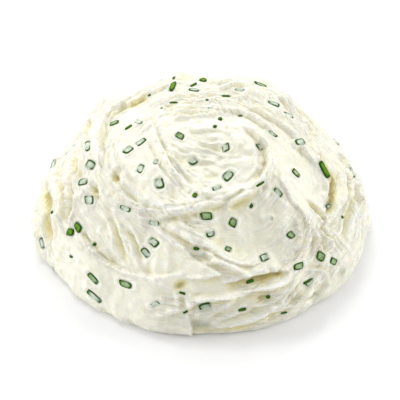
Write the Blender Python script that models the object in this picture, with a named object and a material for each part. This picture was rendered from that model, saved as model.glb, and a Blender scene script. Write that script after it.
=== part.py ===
"""A mound of whipped chive cream cheese. The cheese is swirled round one eye with a palette knife,
and chopped chives lie in its skin. It is one solid, in metres, with +Z up and its origin at the
centre of its flat foot.

The skin is drawn on an unrolled map: a point of the map lies as far from the map's middle as it
lies from the crown along the skin. The knife's marks are laid there as lines about the swirl's
eye, in degrees and millimetres. Millimetres are used throughout and become metres at the end."""

import math

import bmesh
import bpy
import numpy as np
from mathutils import Matrix

# Driving dimensions of the mound
RADIUS = 58.0
HEIGHT = 44.0
LIP_HEIGHT = 4.0
FOOT_RADIUS = 55.5
SHOULDER_POWER = 0.794
CROWN_POWER = 1.531

# The swirl's eye on the unrolled map
EYE = (2.0, -20.0)

# Broad swellings and sinkings of the mound: place on the map, reach and height
SWELLINGS = (
    (-47.0, 14.0, 19.0, -4.6),
    (-30.0, 41.0, 15.0, -4.4),
    (-20.0, 25.0, 9.0, -2.0),
    (2.0, 34.0, 13.0, -2.6),
    (46.0, 18.0, 17.0, -2.6),
    (-58.0, -2.0, 12.0, -1.0),
    (-8.0, 31.0, 6.0, 1.8),
    (-36.0, 23.0, 6.5, 3.6),
)

# How far the foot spreads past a circle: direction, reach in degrees, growth
SPREADS = (
    (-72.0, 34.0, 2.1),
    (-101.0, 12.0, 1.3),
    (-37.0, 12.0, 1.2),
    (-140.0, 12.0, -0.9),
)

# Folds of the skin, each a crest with a crease at its foot. Their numbers are the side that falls
# (1 away from the eye, -1 toward it), the crest's height and reach, the crease's depth and reach,
# and then the crest line's stations: angle, distance from the eye, strength.
FOLDS = (
    # the ridge of the swirl, from the left round the front to its inner end
    (1, 1.9, 3.2, 1.7, 2.6, ((150, 34, 0.2), (168, 31.5, 0.5), (184, 29.0, 0.7),
     (200, 27.2, 0.7), (214, 25.8, 0.8), (228, 24.1, 0.9), (243, 22.1, 1.0), (262, 19.6, 1.0),
     (280, 18.5, 1.0), (298, 18.4, 1.0), (316, 19.6, 1.0), (332, 21.3, 0.9), (345, 22.4, 0.8),
     (357, 22.3, 0.8), (369, 20.6, 0.7), (387, 19.0, 0.6), (408, 17, 0.2))),
    # the rim of the eye's bowl: it comes down from the upper left and winds round to the right
    (1, 1.0, 2.4, 0.9, 1.3, ((254, 14.0, 0.2), (268, 15.4, 0.7), (280, 16.2, 1.0),
     (294, 16.6, 0.9), (314, 16.1, 1.0), (337, 16.0, 1.0), (356, 16.1, 1.0), (381, 15.7, 0.9),
     (406, 16.1, 0.6), (430, 17, 0.1))),
    (-1, 1.1, 2.4, 0.4, 3.0, ((126, 31, 0.3), (133, 27.4, 0.8), (142, 21.7, 1.0),
     (162, 15.8, 1.0), (191, 12.6, 1.0), (218, 11.6, 1.0), (243, 12.6, 1.0), (264, 14.8, 0.8),
     (279, 16.6, 0.3))),
    # the second ridge, which parts from the first and ends in lobes at the front
    (-1, 1.5, 2.2, 0.8, 2.0, ((220, 31.6, 0.2), (228, 30.4, 0.8), (237, 29.8, 1.0),
     (247, 30.4, 1.0), (255, 31.6, 1.0), (261, 34.2, 1.0), (267, 36.3, 1.0), (275, 37.8, 1.0),
     (283, 39.9, 1.0), (289.5, 41.4, 0.9), (294, 42.6, 0.2))),
    (-1, 1.3, 1.7, 1.1, 1.5, ((238, 27.6, 0.2), (248, 28.2, 0.7), (256, 29.0, 0.9),
     (265, 30.6, 1.0), (274, 33.0, 1.0), (282, 35.7, 1.0), (290, 38.2, 1.0), (299, 41.4, 1.0),
     (308, 44.4, 0.6))),
    # the rough rim at the right of the scoop, and the edge of the smooth plate beside it
    (-1, 1.2, 1.7, 0.8, 1.8, ((304, 42.0, 0.3), (310, 40.4, 0.9), (318, 40.4, 1.0),
     (325, 40.4, 1.0), (330, 38.2, 1.0), (331, 35.0, 0.9), (328.5, 30.6, 0.4))),
    (-1, 1.3, 3.0, 1.1, 1.4, ((324, 43.6, 0.3), (328, 41.4, 0.9), (332, 38.4, 1.0),
     (334, 35.0, 1.0), (335.5, 31.5, 1.0), (338, 28.0, 1.0), (343, 25.0, 0.8),
     (350, 23.6, 0.3))),
    # the outer edge of the smooth plate, and the ridge outside its trough
    (1, 1.3, 3.0, 2.3, 1.8, ((-13, 43.4, 0.7), (-6, 43.9, 1.0), (0, 44.4, 1.0), (6, 44.4, 1.0),
     (13, 43.8, 1.0), (20, 41.6, 0.8), (32, 39.0, 0.3))),
    (1, 1.3, 2.2, 1.5, 2.0, ((-15, 48.6, 0.5), (-6, 49.6, 1.0), (3, 50.4, 1.0),
     (12, 50.4, 0.9), (26, 48.4, 0.4))),
    # the creases at the upper right
    (1, 1.2, 2.2, 1.2, 1.8, ((4, 34.2, 0.2), (12, 31.8, 0.8), (24, 28.8, 1.0), (36, 26.8, 1.0),
     (50, 28.2, 1.0), (64, 28.4, 0.9), (80, 28, 0.2))),
    (1, 1.0, 1.8, 1.0, 1.4, ((24, 23.0, 0.3), (33, 21.6, 1.0), (47, 19.8, 1.0), (62, 19.2, 0.9),
     (76, 19, 0.2))),
    # the lip along the front, and the long ridge below it
    (1, 1.4, 2.2, 2.0, 1.8, ((256, 38.8, 0.4), (267, 39.4, 1.0), (278, 40.4, 1.0),
     (288, 41.8, 1.0), (297, 42.8, 1.0), (305, 44.2, 1.0), (311, 45.6, 0.6))),
    (1, 1.4, 1.8, 1.3, 1.6, ((258, 47.2, 0.3), (267, 46.6, 1.0), (278, 45.4, 1.0),
     (288, 45.2, 1.0), (299, 45.6, 1.0), (308, 47.0, 1.0), (315, 48.4, 0.5))),
    # the long rim round the lower left, over the smooth apron
    (-1, 1.1, 1.8, 1.5, 1.8, ((193, 53.4, 0.3), (203, 50.6, 1.0), (210, 49.0, 1.0),
     (217, 48.0, 1.0), (225, 46.8, 1.0), (234, 45.6, 1.0), (243, 43.8, 1.0), (253, 42.0, 0.8),
     (260, 41.0, 0.3))),
    # the upper left sheets
    (-1, 1.4, 2.2, 1.8, 2.0, ((118, 38.2, 0.4), (126, 38.0, 1.0), (134, 38.6, 1.0),
     (145, 41.8, 1.0), (156, 43.6, 0.4))),
    (-1, 1.2, 1.8, 1.2, 1.5, ((148, 49.5, 0.3), (160, 48.6, 1.0), (170, 47.4, 1.0),
     (180, 46.6, 0.9), (192, 46.0, 0.3))),
    (-1, 1.1, 2.0, 1.2, 1.8, ((140, 58, 0.3), (155, 57.6, 1.0), (170, 57.0, 1.0),
     (182, 54.0, 1.0), (191, 53.8, 0.9), (197, 55.4, 0.2))),
)

# Bundles of fine folds between two lines: how many, crest, reach, and the two lines' stations
BUNDLES = (
    # where the ridge's strands fan out at the left
    (5, 0.75, 1.1, ((166, 42.0, 0.3), (174, 39.6, 0.9), (186, 36.8, 1.0), (203, 33.9, 1.0),
     (220, 30.3, 1.0), (242, 25.4, 0.9), (262, 21.8, 0.3)),
     ((150, 31.6, 0.3), (170, 29.6, 0.9), (186, 26.9, 1.0), (200, 25.4, 1.0), (222, 23.3, 1.0),
      (238, 21.8, 0.9), (256, 19.6, 0.3))),
    # the sweep down the left of the bowl
    (5, 0.45, 0.9, ((128, 30, 0.3), (138, 26, 0.9), (150, 22, 1.0), (170, 17.6, 1.0),
     (218, 15.2, 1.0), (240, 16.2, 0.9), (258, 18, 0.2)),
     ((128, 29, 0.3), (133, 26, 0.9), (142, 20.6, 1.0), (162, 14.8, 1.0), (191, 11.8, 1.0),
      (218, 10.8, 0.9), (244, 11.6, 0.2))),
    (4, 0.35, 0.9, ((140, 29, 0.3), (160, 26.4, 1.0), (190, 23.6, 1.0), (220, 21.6, 1.0),
     (244, 20.2, 0.3)),
     ((146, 23.6, 0.3), (170, 20.4, 1.0), (200, 18.6, 1.0), (225, 17.8, 1.0), (250, 17.8, 0.3))),
    # the lobes at the front
    (2, 0.9, 1.2, ((262, 32.4, 0.2), (269, 33.8, 1.0), (277, 36.0, 1.0), (285, 38.6, 1.0),
     (293, 41.6, 0.4)),
     ((265, 35.4, 0.2), (272, 36.6, 1.0), (279, 38.2, 1.0), (286, 40.2, 1.0),
      (292, 42.6, 0.4))),
    # between the front lip and the ridge below it, and under that ridge
    (3, 0.5, 1.1, ((262, 42.6, 0.3), (275, 43.0, 1.0), (290, 43.4, 1.0), (306, 45.8, 0.4)),
     ((258, 46.0, 0.3), (272, 45.2, 1.0), (288, 44.4, 1.0), (306, 46.2, 0.4))),
    (4, 0.6, 1.3, ((264, 49.2, 0.3), (280, 48.4, 1.0), (296, 48.4, 1.0), (312, 49.6, 0.4)),
     ((262, 58.0, 0.3), (276, 56.4, 1.0), (290, 54.0, 1.0), (304, 51.0, 0.4))),
    # the flutes at the lower right
    (4, 0.9, 1.2, ((292, 53.4, 0.3), (299, 51.8, 1.0), (306, 49.8, 1.0), (314, 48.2, 0.3)),
     ((300, 57.0, 0.3), (307, 55.4, 1.0), (313, 52.4, 1.0), (318, 49.6, 0.3))),
    (3, 0.7, 1.2, ((318, 60, 0.3), (325, 57, 1.0), (331, 51, 1.0), (334, 45, 0.3)),
     ((334, 62, 0.3), (337, 57, 1.0), (338, 51, 1.0), (337, 44, 0.3))),
    # the upright folds of the right side
    (5, 0.7, 1.3, ((-22, 52, 0.3), (-8, 52.6, 1.0), (8, 53, 1.0), (24, 51, 1.0), (40, 49, 0.3)),
     ((-20, 66, 0.3), (-6, 66, 1.0), (8, 66, 1.0), (24, 64, 1.0), (40, 60, 0.3))),
    (4, 0.5, 1.1, ((-4, 46.8, 0.2), (6, 47.0, 1.0), (20, 44.6, 1.0), (36, 42, 1.0),
     (52, 40, 0.3)),
     ((14, 38.6, 0.2), (24, 36.0, 1.0), (36, 33.6, 1.0), (48, 32.6, 1.0), (62, 32, 0.3))),
    # the upright folds of the left side
    (6, 0.8, 1.2, ((138, 64, 0.3), (152, 63, 1.0), (166, 62, 1.0), (178, 58.6, 1.0),
     (190, 58, 0.3)),
     ((140, 46, 0.3), (154, 46, 1.0), (168, 44.6, 1.0), (180, 42.6, 1.0), (192, 40.6, 0.3))),
    # long fine folds over the top
    (7, 0.4, 1.0, ((48, 33, 0.2), (64, 33, 1.0), (84, 33, 1.0), (104, 33, 1.0), (122, 34, 0.2)),
     ((40, 20, 0.2), (62, 15, 1.0), (90, 13, 1.0), (118, 16, 1.0), (136, 19, 0.2))),
)

# Grooves: depth, half width, height of the rims, and the stations
GROOVES = (
    (1.3, 1.5, 0.6, ((200, 35.0, 0.3), (206, 36.0, 1.0), (212, 37.0, 1.0), (218, 39.0, 1.0),
     (225, 41.4, 1.0), (232, 42.6, 0.4))),
    (1.2, 1.3, 0.6, ((218, 34.4, 0.3), (224, 35.8, 1.0), (231, 37.9, 1.0), (236, 40.2, 0.4))),
    (0.7, 0.9, 0.4, ((209, 34.0, 0.3), (214, 35.8, 1.0), (221, 38.4, 1.0), (228, 40.6, 0.3))),
    (2.8, 2.1, 0.9, ((163, 69.0, 0.3), (170, 66.6, 1.0), (176, 63.2, 1.0), (183, 61.6, 1.0),
     (190, 62.3, 1.0), (195, 62.8, 0.3))),
    (1.5, 0.9, 0.5, ((344, 35.6, 0.3), (342, 38.4, 1.0), (340.7, 41.5, 1.0),
     (341.2, 45.0, 0.4))),
    (1.4, 1.2, 0.6, ((335.6, 42.6, 0.3), (335.2, 47.0, 1.0), (336.0, 51.6, 1.0),
     (337.4, 56.0, 0.4))),
    (1.9, 1.5, 0.6, ((-12, 52.6, 0.5), (-5, 53.8, 1.0), (3, 56.2, 0.9), (9, 57.6, 0.3))),
)

# Single hollows: angle, distance, length, breadth, turn, depth
HOLLOWS = (
    (270, 2.0, 13.0, 11.5, 0, 1.2),
    (191, 30.6, 1.7, 1.6, 0, 2.4),
    (173, 45.4, 3.4, 1.3, 80, 2.0),
    (257, 43.4, 2.8, 1.5, 20, 2.0),
    (297, 50.4, 3.2, 1.5, 20, 1.8),
    (76, 14.0, 5.0, 3.0, 0, 0.6),
)

# Smooth plates that the flat of the knife leaves: half width, depth, and the stations
PLATES = (
    (8.4, 2.1, ((254, 25.0, 0.4), (266, 26.2, 1.0), (280, 28.0, 1.0), (295, 30.2, 1.0),
     (310, 31.2, 1.0), (322, 30.6, 0.5))),
    (9.5, 0.8, ((28, 28, 0.4), (14, 32.0, 1.0), (0, 33.4, 1.0), (-12, 34.6, 1.0),
     (-20, 37, 0.4))),
    (5.0, 0.6, ((140, 26, 0.4), (155, 23.6, 1.0), (180, 21.2, 1.0), (210, 20.0, 1.0),
     (235, 18.6, 0.4))),
    (5.2, 1.1, ((230, 33.0, 0.3), (240, 35.6, 1.0), (250, 37.4, 1.0), (258, 38.6, 0.6))),
    (7.0, 0.2, ((200, 56, 0.5), (212, 55.5, 1.0), (228, 54.5, 1.0), (245, 54.5, 1.0),
     (256, 56, 0.4))),
    (5.0, 0.5, ((128, 31, 0.4), (138, 32.5, 1.0), (148, 35, 0.6))),
)

# The skin all over: reach and height of the lumps, height of the strands, and the free folds
LUMP_REACH = 15.0
LUMP_HEIGHT = 1.0
STRAND_HEIGHT = 0.5
FREE_FOLDS = 30

# Chopped chives where they show most: angle, distance, length, width, turn on the map
CHIVES = (
    (182.5, 42.4, 5.0, 3.0, -35), (175.6, 38.8, 4.5, 3.2, -39), (193.9, 41.3, 4.6, 3.0, -20),
    (199.2, 52.3, 4.2, 2.8, -40), (200.8, 49.0, 4.6, 2.8, -50), (219.4, 55.6, 5.0, 2.2, -48),
    (222.6, 60.4, 6.0, 2.4, -45), (233.7, 50.0, 5.5, 2.6, -18), (236.9, 38.2, 3.4, 3.0, -50),
    (239.1, 34.2, 3.4, 2.6, -25), (217.2, 18.4, 3.9, 3.3, -60), (230.4, 6.7, 3.6, 2.4, 40),
    (304.5, 11.7, 4.3, 2.4, 53), (332.5, 26.8, 3.8, 2.4, -35), (270.5, 22.8, 4.4, 2.6, 5),
    (289.3, 25.4, 3.2, 2.6, 70), (272.5, 27.4, 3.2, 2.6, -20), (301.2, 38.6, 3.4, 2.6, 35),
    (320.3, 37.7, 3.2, 2.8, 45), (353.7, 29.2, 3.9, 2.8, -40), (4.0, 6.0, 3.0, 2.4, 50),
    (315.8, 47.2, 4.2, 2.6, 25), (328.1, 50.4, 4.4, 3.2, 10), (332.2, 55.6, 3.4, 2.4, 10),
    (270.5, 49.5, 4.4, 3.0, 5), (147.3, 10.0, 2.8, 2.6, 20), (173.2, 25.4, 3.4, 3.0, 35),
    (167.0, 21.3, 3.8, 2.4, 45), (149.7, 35.3, 3.4, 2.8, -30), (109.3, 33.9, 3.2, 2.4, 90),
    (25.0, 23.6, 3.0, 2.2, -50), (19.0, 32.6, 4.2, 2.8, 45), (6.1, 41.4, 7.0, 2.8, -50),
    (40.3, 36.5, 4.0, 2.4, -20), (50.0, 35.5, 4.4, 2.6, -15), (65.0, 44.6, 4.6, 2.8, -10),
    (163.7, 61.3, 5.0, 3.0, -60), (285.4, 51.9, 3.6, 2.0, 10),
)
# More of them by the spread rule round the back, at least this far apart
BACK_CHIVES = 22
CHIVE_SPACING = 11.0
CHIVE_THICKNESS = 1.9
CHIVE_PROUD = 0.55

# Cells along an edge of the cube that the skin starts from, and the triangles that are kept
CELLS = 84
SKIN_TRIANGLES = 8200

SEED = 7


def profile():
    """The mound's side view from the crown to the foot: distance along it, breadth and level."""
    turn = np.linspace(0.0, math.pi / 2, 240)
    dome_r = RADIUS * np.sin(turn) ** SHOULDER_POWER
    dome_z = LIP_HEIGHT + (HEIGHT - LIP_HEIGHT) * np.cos(turn) ** CROWN_POWER
    tuck = np.linspace(0.0, math.pi / 2, 24)[1:]
    tuck_r = FOOT_RADIUS + (RADIUS - FOOT_RADIUS) * np.cos(tuck)
    tuck_z = LIP_HEIGHT * (1 - np.sin(tuck))
    breadth = np.concatenate([dome_r, tuck_r])
    level = np.concatenate([dome_z, tuck_z])
    steps = np.hypot(np.diff(breadth), np.diff(level))
    return np.concatenate([[0.0], np.cumsum(steps)]), breadth, level


ALONG, BREADTH, LEVEL = profile()
SKIN_LENGTH = ALONG[-1]


def smooth_step(low, high, value):
    share = np.clip((value - low) / (high - low), 0.0, 1.0)
    return share * share * (3 - 2 * share)


def noise(u, v, seed, wrap=256):
    """Smooth noise from -1 to 1, one bump a unit, which repeats after wrap units of v."""
    table = np.random.default_rng(SEED * 1000 + seed).uniform(-1, 1, (256, 256))
    i, j = np.floor(u).astype(int), np.floor(v).astype(int)
    fu, fv = smooth_step(0, 1, u - i), smooth_step(0, 1, v - j)
    i0, i1, j0, j1 = i % 256, (i + 1) % 256, (j % wrap) % 256, ((j + 1) % wrap) % 256
    low = table[i0, j0] * (1 - fu) + table[i1, j0] * fu
    high = table[i0, j1] * (1 - fu) + table[i1, j1] * fu
    return low * (1 - fv) + high * fv


def strands(across, along, seed, wrap=256):
    """Fine ridges that run along the knife's way, from 0 to 1, one a unit of across."""
    drift = 0.7 * noise(across * 0.35, along, seed + 1, wrap)
    coarse = 1 - np.abs(noise(across + drift, along, seed + 2, wrap))
    fine = 1 - np.abs(noise(across * 2.3 + drift, along * 2, seed + 3, 2 * wrap))
    return 0.65 * coarse**2 + 0.35 * fine**2


def on_map(angle, distance):
    turn = np.radians(angle)
    return EYE[0] + distance * np.cos(turn), EYE[1] + distance * np.sin(turn)


def line_through(stations):
    """A smooth line through stations about the eye: points of the map, strength and length."""
    knots = np.array(stations, float)
    count = len(knots)
    fine = np.linspace(0, count - 1, 30 * (count - 1) + 1)
    i = np.minimum(fine.astype(int), count - 2)
    t = (fine - i)[:, None]
    padded = np.vstack([2 * knots[0] - knots[1], knots, 2 * knots[-1] - knots[-2]])
    before, start, end, after = (padded[i + k] for k in range(4))
    curve = start + 0.5 * t * (end - before + t * (2 * before - 5 * start + 4 * end - after
                                                   + t * (3 * (start - end) + after - before)))
    x, y = on_map(curve[:, 0], curve[:, 1])
    length = np.concatenate([[0.0], np.cumsum(np.hypot(np.diff(x), np.diff(y)))])
    return x, y, np.clip(curve[:, 2], 0, 1), length


def beside(line, a, b, reach):
    """For the map's points near a line: which they are, how far across and along, strength."""
    x, y, strength, length = line
    near = ((a > x.min() - reach) & (a < x.max() + reach)
            & (b > y.min() - reach) & (b < y.max() + reach))
    pick = np.nonzero(near)[0]
    tx, ty = np.gradient(x, length), np.gradient(y, length)
    along = np.zeros(len(pick))
    for first in range(0, len(pick), 4000):
        part = slice(first, first + 4000)
        dx = a[pick[part], None] - x
        dy = b[pick[part], None] - y
        k = np.argmin(dx * dx + dy * dy, axis=1)
        row = np.arange(len(k))
        along[part] = length[k] + dx[row, k] * tx[k] + dy[row, k] * ty[k]
    px, py, qx, qy, power = (np.interp(along, length, v) for v in (x, y, tx, ty, strength))
    across = (a[pick] - px) * qy - (b[pick] - py) * qx
    beyond = np.maximum(np.maximum(-along, along - length[-1]), 0)
    power *= np.exp(-((beyond / 2.5) ** 2))
    close = (np.abs(across) < reach) & (power > 0.002)
    return pick[close], across[close], along[close], power[close]


def fold(height, a, b, line, seed, falls, crest, back, crease, recover):
    """A crest whose far side falls steeply into a crease."""
    pick, across, along, power = beside(line, a, b, 3.2 * max(back, recover))
    wobble = noise(along * 0.22, along * 0.0, seed)
    out = falls * across + 0.45 * wobble
    crest_here = crest * (1 + 0.35 * noise(along * 0.30, along * 0.0, seed + 5))
    crease_here = crease * (1 + 0.35 * noise(along * 0.26, along * 0.0, seed + 9))
    face = 0.15 * back + 0.16 * (crest + crease)
    up = crest_here * np.exp(-((np.maximum(-out, 0) / back) ** 1.3))
    down = crease_here * np.exp(-((np.maximum(out - face, 0) / recover) ** 1.2))
    blend = smooth_step(0, face, out)
    comb = strands(out * 0.9, along * 0.06, seed + 13) - 0.45
    rough = 0.22 * crest * comb * np.exp(-((out / (1.2 * back)) ** 2))
    height[pick] += power * (up * (1 - blend) - down * blend + rough)


def bundle(height, a, b, seed, count, crest, reach, first, last):
    """Fine folds side by side, which fan out or draw together between two lines."""
    draw = np.random.default_rng(SEED * 77 + seed)
    first, last = np.array(first, float), np.array(last, float)
    for i in range(count):
        share = (i + draw.uniform(0.2, 0.8)) / count
        line = first * (1 - share) + last * share
        line[:, 2] *= draw.uniform(0.55, 1.0)
        line[:, 0] += draw.uniform(-3, 3)
        side = 1 if draw.random() < 0.6 else -1
        fold(height, a, b, line_through(line), seed + 16 * i, side, crest, reach,
             0.5 * crest, 0.9 * reach)


def groove(height, a, b, line, seed, depth, half_width, rim):
    pick, across, along, power = beside(line, a, b, 4 * half_width)
    offset = across + 0.4 * noise(along * 0.25, along * 0.0, seed)
    share = np.abs(offset) / half_width
    deep = depth * (1 + 0.25 * noise(along * 0.3, along * 0.0, seed + 4))
    height[pick] += power * (rim * np.exp(-((share - 1.7) / 0.7) ** 2) - deep * np.exp(-share**2))


def plate(height, a, b, line, seed, half_width, depth):
    """The flat of the knife: it smooths what is there and presses it in a little."""
    pick, across, along, power = beside(line, a, b, 1.5 * half_width)
    share = np.abs(across + 0.8 * noise(along * 0.12, along * 0.0, seed)) / half_width
    cover = power * (1 - smooth_step(0.72, 1.1, share))
    comb = 0.12 * (strands(across * 0.55, along * 0.05, seed + 3) - 0.5)
    pressed = -depth * (1 - 0.6 * np.minimum(share, 1) ** 2) + comb
    height[pick] = height[pick] * (1 - 0.9 * cover) + pressed * cover


def hollow(height, a, b, angle, distance, length, breadth, turn, depth):
    x, y = on_map(angle, distance)
    c, s = math.cos(math.radians(turn)), math.sin(math.radians(turn))
    u = ((a - x) * c + (b - y) * s) / length
    v = ((b - y) * c - (a - x) * s) / breadth
    height -= depth * np.exp(-((u * u + v * v) ** 1.2))


def free_folds():
    """Lesser folds by rule: arcs about the eye, spread over the outer skin and the back."""
    draw = np.random.default_rng(SEED)
    golden = 137.508
    for i in range(FREE_FOLDS):
        middle = i * golden + draw.uniform(-12, 12)
        facing = math.sin(math.radians(middle))
        most = 62 + 26 * facing
        distance = 36 + (most - 36) * ((i + 0.5) / FREE_FOLDS) ** 0.8
        span = math.degrees(draw.uniform(12, 24) / distance)
        drift = draw.uniform(-4.0, 4.0)
        stations = tuple((middle + span * t, distance + drift * t, 1.0 - abs(t) ** 3)
                         for t in (-1.0, -0.6, -0.2, 0.2, 0.6, 1.0))
        away = 0.45 + 0.55 * max(0.0, facing)
        yield (draw.choice((-1, 1)), away * draw.uniform(0.8, 1.6), draw.uniform(1.4, 2.6),
               away * draw.uniform(0.6, 1.3), draw.uniform(1.2, 2.2), stations)


def relief(a, b):
    """How far the skin stands out at points of the map."""
    da, db = a - EYE[0], b - EYE[1]
    distance = np.hypot(da, db)
    turns = np.arctan2(db, da) / (2 * math.pi) % 1.0
    height = LUMP_HEIGHT * noise(a / LUMP_REACH + 40, b / LUMP_REACH + 40, 1)
    height += 0.45 * LUMP_HEIGHT * noise(a / 6.5 + 60, b / 6.5 + 60, 2)
    for x, y, reach, rise in SWELLINGS:
        height += rise * np.exp(-((a - x) ** 2 + (b - y) ** 2) / reach**2)
    bend = 2.2 * noise(a / 24 + 20, b / 24 + 20, 3) + 0.7 * noise(a / 9 + 90, b / 9 + 90, 4)
    comb = strands((distance + bend) * 0.45, turns * 14, 20, 14) - 0.45
    height += STRAND_HEIGHT * comb * smooth_step(2, 26, distance)
    for k, row in enumerate(free_folds()):
        fold(height, a, b, line_through(row[5]), 300 + 20 * k, *row[:5])
    for k, (half_width, depth, stations) in enumerate(PLATES):
        plate(height, a, b, line_through(stations), 100 + 10 * k, half_width, depth)
    for k, row in enumerate(BUNDLES):
        bundle(height, a, b, 2000 + 150 * k, *row)
    for row in HOLLOWS:
        hollow(height, a, b, *row)
    for k, row in enumerate(GROOVES):
        groove(height, a, b, line_through(row[3]), 150 + 10 * k, *row[:3])
    for k, row in enumerate(FOLDS):
        fold(height, a, b, line_through(row[5]), 1300 + 20 * k, *row[:5])
    return height


def spread(turn):
    """How far the foot goes past a circle in each direction."""
    growth = np.zeros_like(turn)
    for way, reach, most in SPREADS:
        apart = (np.degrees(turn) - way + 180) % 360 - 180
        growth += most * np.exp(-((apart / reach) ** 2))
    return growth


def stand(a, b, height):
    """The points of the mound, in millimetres, for points of the map and the skin's height."""
    s = np.hypot(a, b)
    turn = np.arctan2(b, a)
    r, z = np.interp(s, ALONG, BREADTH), np.interp(s, ALONG, LEVEL)
    step = 0.5
    dr = (np.interp(s + step, ALONG, BREADTH) - np.interp(s - step, ALONG, BREADTH)) / (2 * step)
    dz = (np.interp(s + step, ALONG, LEVEL) - np.interp(s - step, ALONG, LEVEL)) / (2 * step)
    # near the foot the skin is pushed level, so that the underside stays flat
    low = smooth_step(SKIN_LENGTH - 9, SKIN_LENGTH - 4, s)
    out = (-dz) * (1 - low) + low
    rise = np.maximum(dr, 0) * (1 - low)
    size = np.hypot(out, rise) + 1e-9
    share = height * (1 - 0.35 * smooth_step(SKIN_LENGTH - 5, SKIN_LENGTH, s))
    r = r + share * out / size + spread(turn) * smooth_step(30, 76, s)
    z = z + share * rise / size
    return np.stack([r * np.cos(turn), r * np.sin(turn), z], axis=1)


def cube_ball(cells):
    """The upper half of a round cube of equal cells: directions as a bmesh of unit length."""
    ball = bmesh.new()
    bmesh.ops.create_cube(ball, size=2.0)
    bmesh.ops.subdivide_edges(ball, edges=ball.edges[:], cuts=cells - 1, use_grid_fill=True)
    for vert in ball.verts:
        for axis in range(3):
            vert.co[axis] = math.tan(vert.co[axis] * math.pi / 4)
        vert.co.normalize()
    bmesh.ops.bisect_plane(ball, geom=ball.verts[:] + ball.edges[:] + ball.faces[:],
                           dist=1e-5, plane_co=(0, 0, 0), plane_no=(0, 0, 1), clear_inner=True)
    return ball


def skin_mesh(cells):
    """The open skin of the mound, from the crown to the foot."""
    ball = cube_ball(cells)
    ways = np.array([vert.co[:] for vert in ball.verts])
    down = np.arccos(np.clip(ways[:, 2], -1, 1))
    turn = np.arctan2(ways[:, 1], ways[:, 0])
    s = np.minimum(SKIN_LENGTH * down / (math.pi / 2), SKIN_LENGTH)
    a, b = s * np.cos(turn), s * np.sin(turn)
    places = stand(a, b, relief(a, b))
    for vert, place in zip(ball.verts, places):
        vert.co = place
        if vert.is_boundary:
            vert.co.z = 0.0
    mesh = bpy.data.meshes.new("skin")
    ball.to_mesh(mesh)
    ball.free()
    return mesh


def material(name, colour, roughness):
    made = bpy.data.materials.new(name)
    made.use_nodes = True
    shader = made.node_tree.nodes["Principled BSDF"]
    shader.inputs["Base Color"].default_value = (*colour, 1.0)
    shader.inputs["Roughness"].default_value = roughness
    shader.inputs["Metallic"].default_value = 0.0
    return made


def back_chives():
    """Chives for the sides that the named ones leave bare: the largest first, evenly spread."""
    draw = np.random.default_rng(SEED + 1)
    taken = [on_map(row[0], row[1]) for row in CHIVES]
    more = []
    for _ in range(4000):
        if len(more) == BACK_CHIVES:
            break
        distance = draw.uniform(8, SKIN_LENGTH - 9)
        turn = draw.uniform(-20, 200)
        x = distance * math.cos(math.radians(turn))
        y = distance * math.sin(math.radians(turn))
        if y < 14 or min(math.hypot(x - u, y - v) for u, v in taken) < CHIVE_SPACING:
            continue
        taken.append((x, y))
        more.append((x, y, draw.uniform(3.0, 4.8), draw.uniform(2.3, 3.0), draw.uniform(-90, 90)))
    return sorted(more, key=lambda row: -row[2])


def chive_places():
    """Each chive's place and axes on the skin, in millimetres."""
    rows = [(*on_map(row[0], row[1]), *row[2:]) for row in CHIVES] + back_chives()
    x, y, length, width, turn = np.array(rows).T
    c, s = 1.6 * np.cos(np.radians(turn)), 1.6 * np.sin(np.radians(turn))
    a = np.concatenate([x + c, x - c, x - s, x + s, x])
    b = np.concatenate([y + s, y - s, y + c, y - c, y])
    points = stand(a, b, relief(a, b)).reshape(5, len(rows), 3).transpose(1, 0, 2)
    for p, long, wide in zip(points, length, width):
        forward = (p[0] - p[1]) / np.linalg.norm(p[0] - p[1])
        up = np.cross(forward, p[2] - p[3])
        up /= np.linalg.norm(up)
        middle = 0.5 * p[:4].mean(axis=0) + 0.5 * p[4]
        yield middle, forward, np.cross(up, forward), up, long, wide


def cut_chive(name, place, look, group):
    """A short length of chive, an eight-sided oval tube end cut aslant, sunk in the skin."""
    middle, forward, side, up, length, width = place
    piece = bmesh.new()
    bmesh.ops.create_cone(piece, cap_ends=True, segments=8, radius1=0.5, radius2=0.5, depth=1.0)
    for vert in piece.verts:
        x, y, z = vert.co
        vert.co = (z * length + 0.30 * y * width, y * width, -x * CHIVE_THICKNESS)
    centre = middle + up * (CHIVE_PROUD - CHIVE_THICKNESS / 2)
    frame = Matrix([[forward[i], side[i], up[i], centre[i]] for i in range(3)] + [[0, 0, 0, 1]])
    piece.transform(frame)
    mesh = bpy.data.meshes.new(name)
    piece.to_mesh(mesh)
    piece.free()
    mesh.materials.append(look)
    item = bpy.data.objects.new(name, mesh)
    group.objects.link(item)
    return item


def keep_whole(mesh):
    """Drops loose scraps and sealed hollows: only the largest closed surface stays."""
    body = bmesh.new()
    body.from_mesh(mesh)
    bmesh.ops.triangulate(body, faces=body.faces[:])
    left = set(body.faces)
    shells = []
    while left:
        edge_of = [left.pop()]
        shell = []
        while edge_of:
            face = edge_of.pop()
            shell.append(face)
            for edge in face.edges:
                for other in edge.link_faces:
                    if other in left:
                        left.remove(other)
                        edge_of.append(other)
        shells.append(shell)
    shells.sort(key=len)
    for shell in shells[:-1]:
        bmesh.ops.delete(body, geom=shell, context="FACES")
    loose = [vert for vert in body.verts if not vert.link_faces]
    bmesh.ops.delete(body, geom=loose, context="VERTS")
    body.to_mesh(mesh)
    body.free()
    return [len(shell) for shell in shells]


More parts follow.
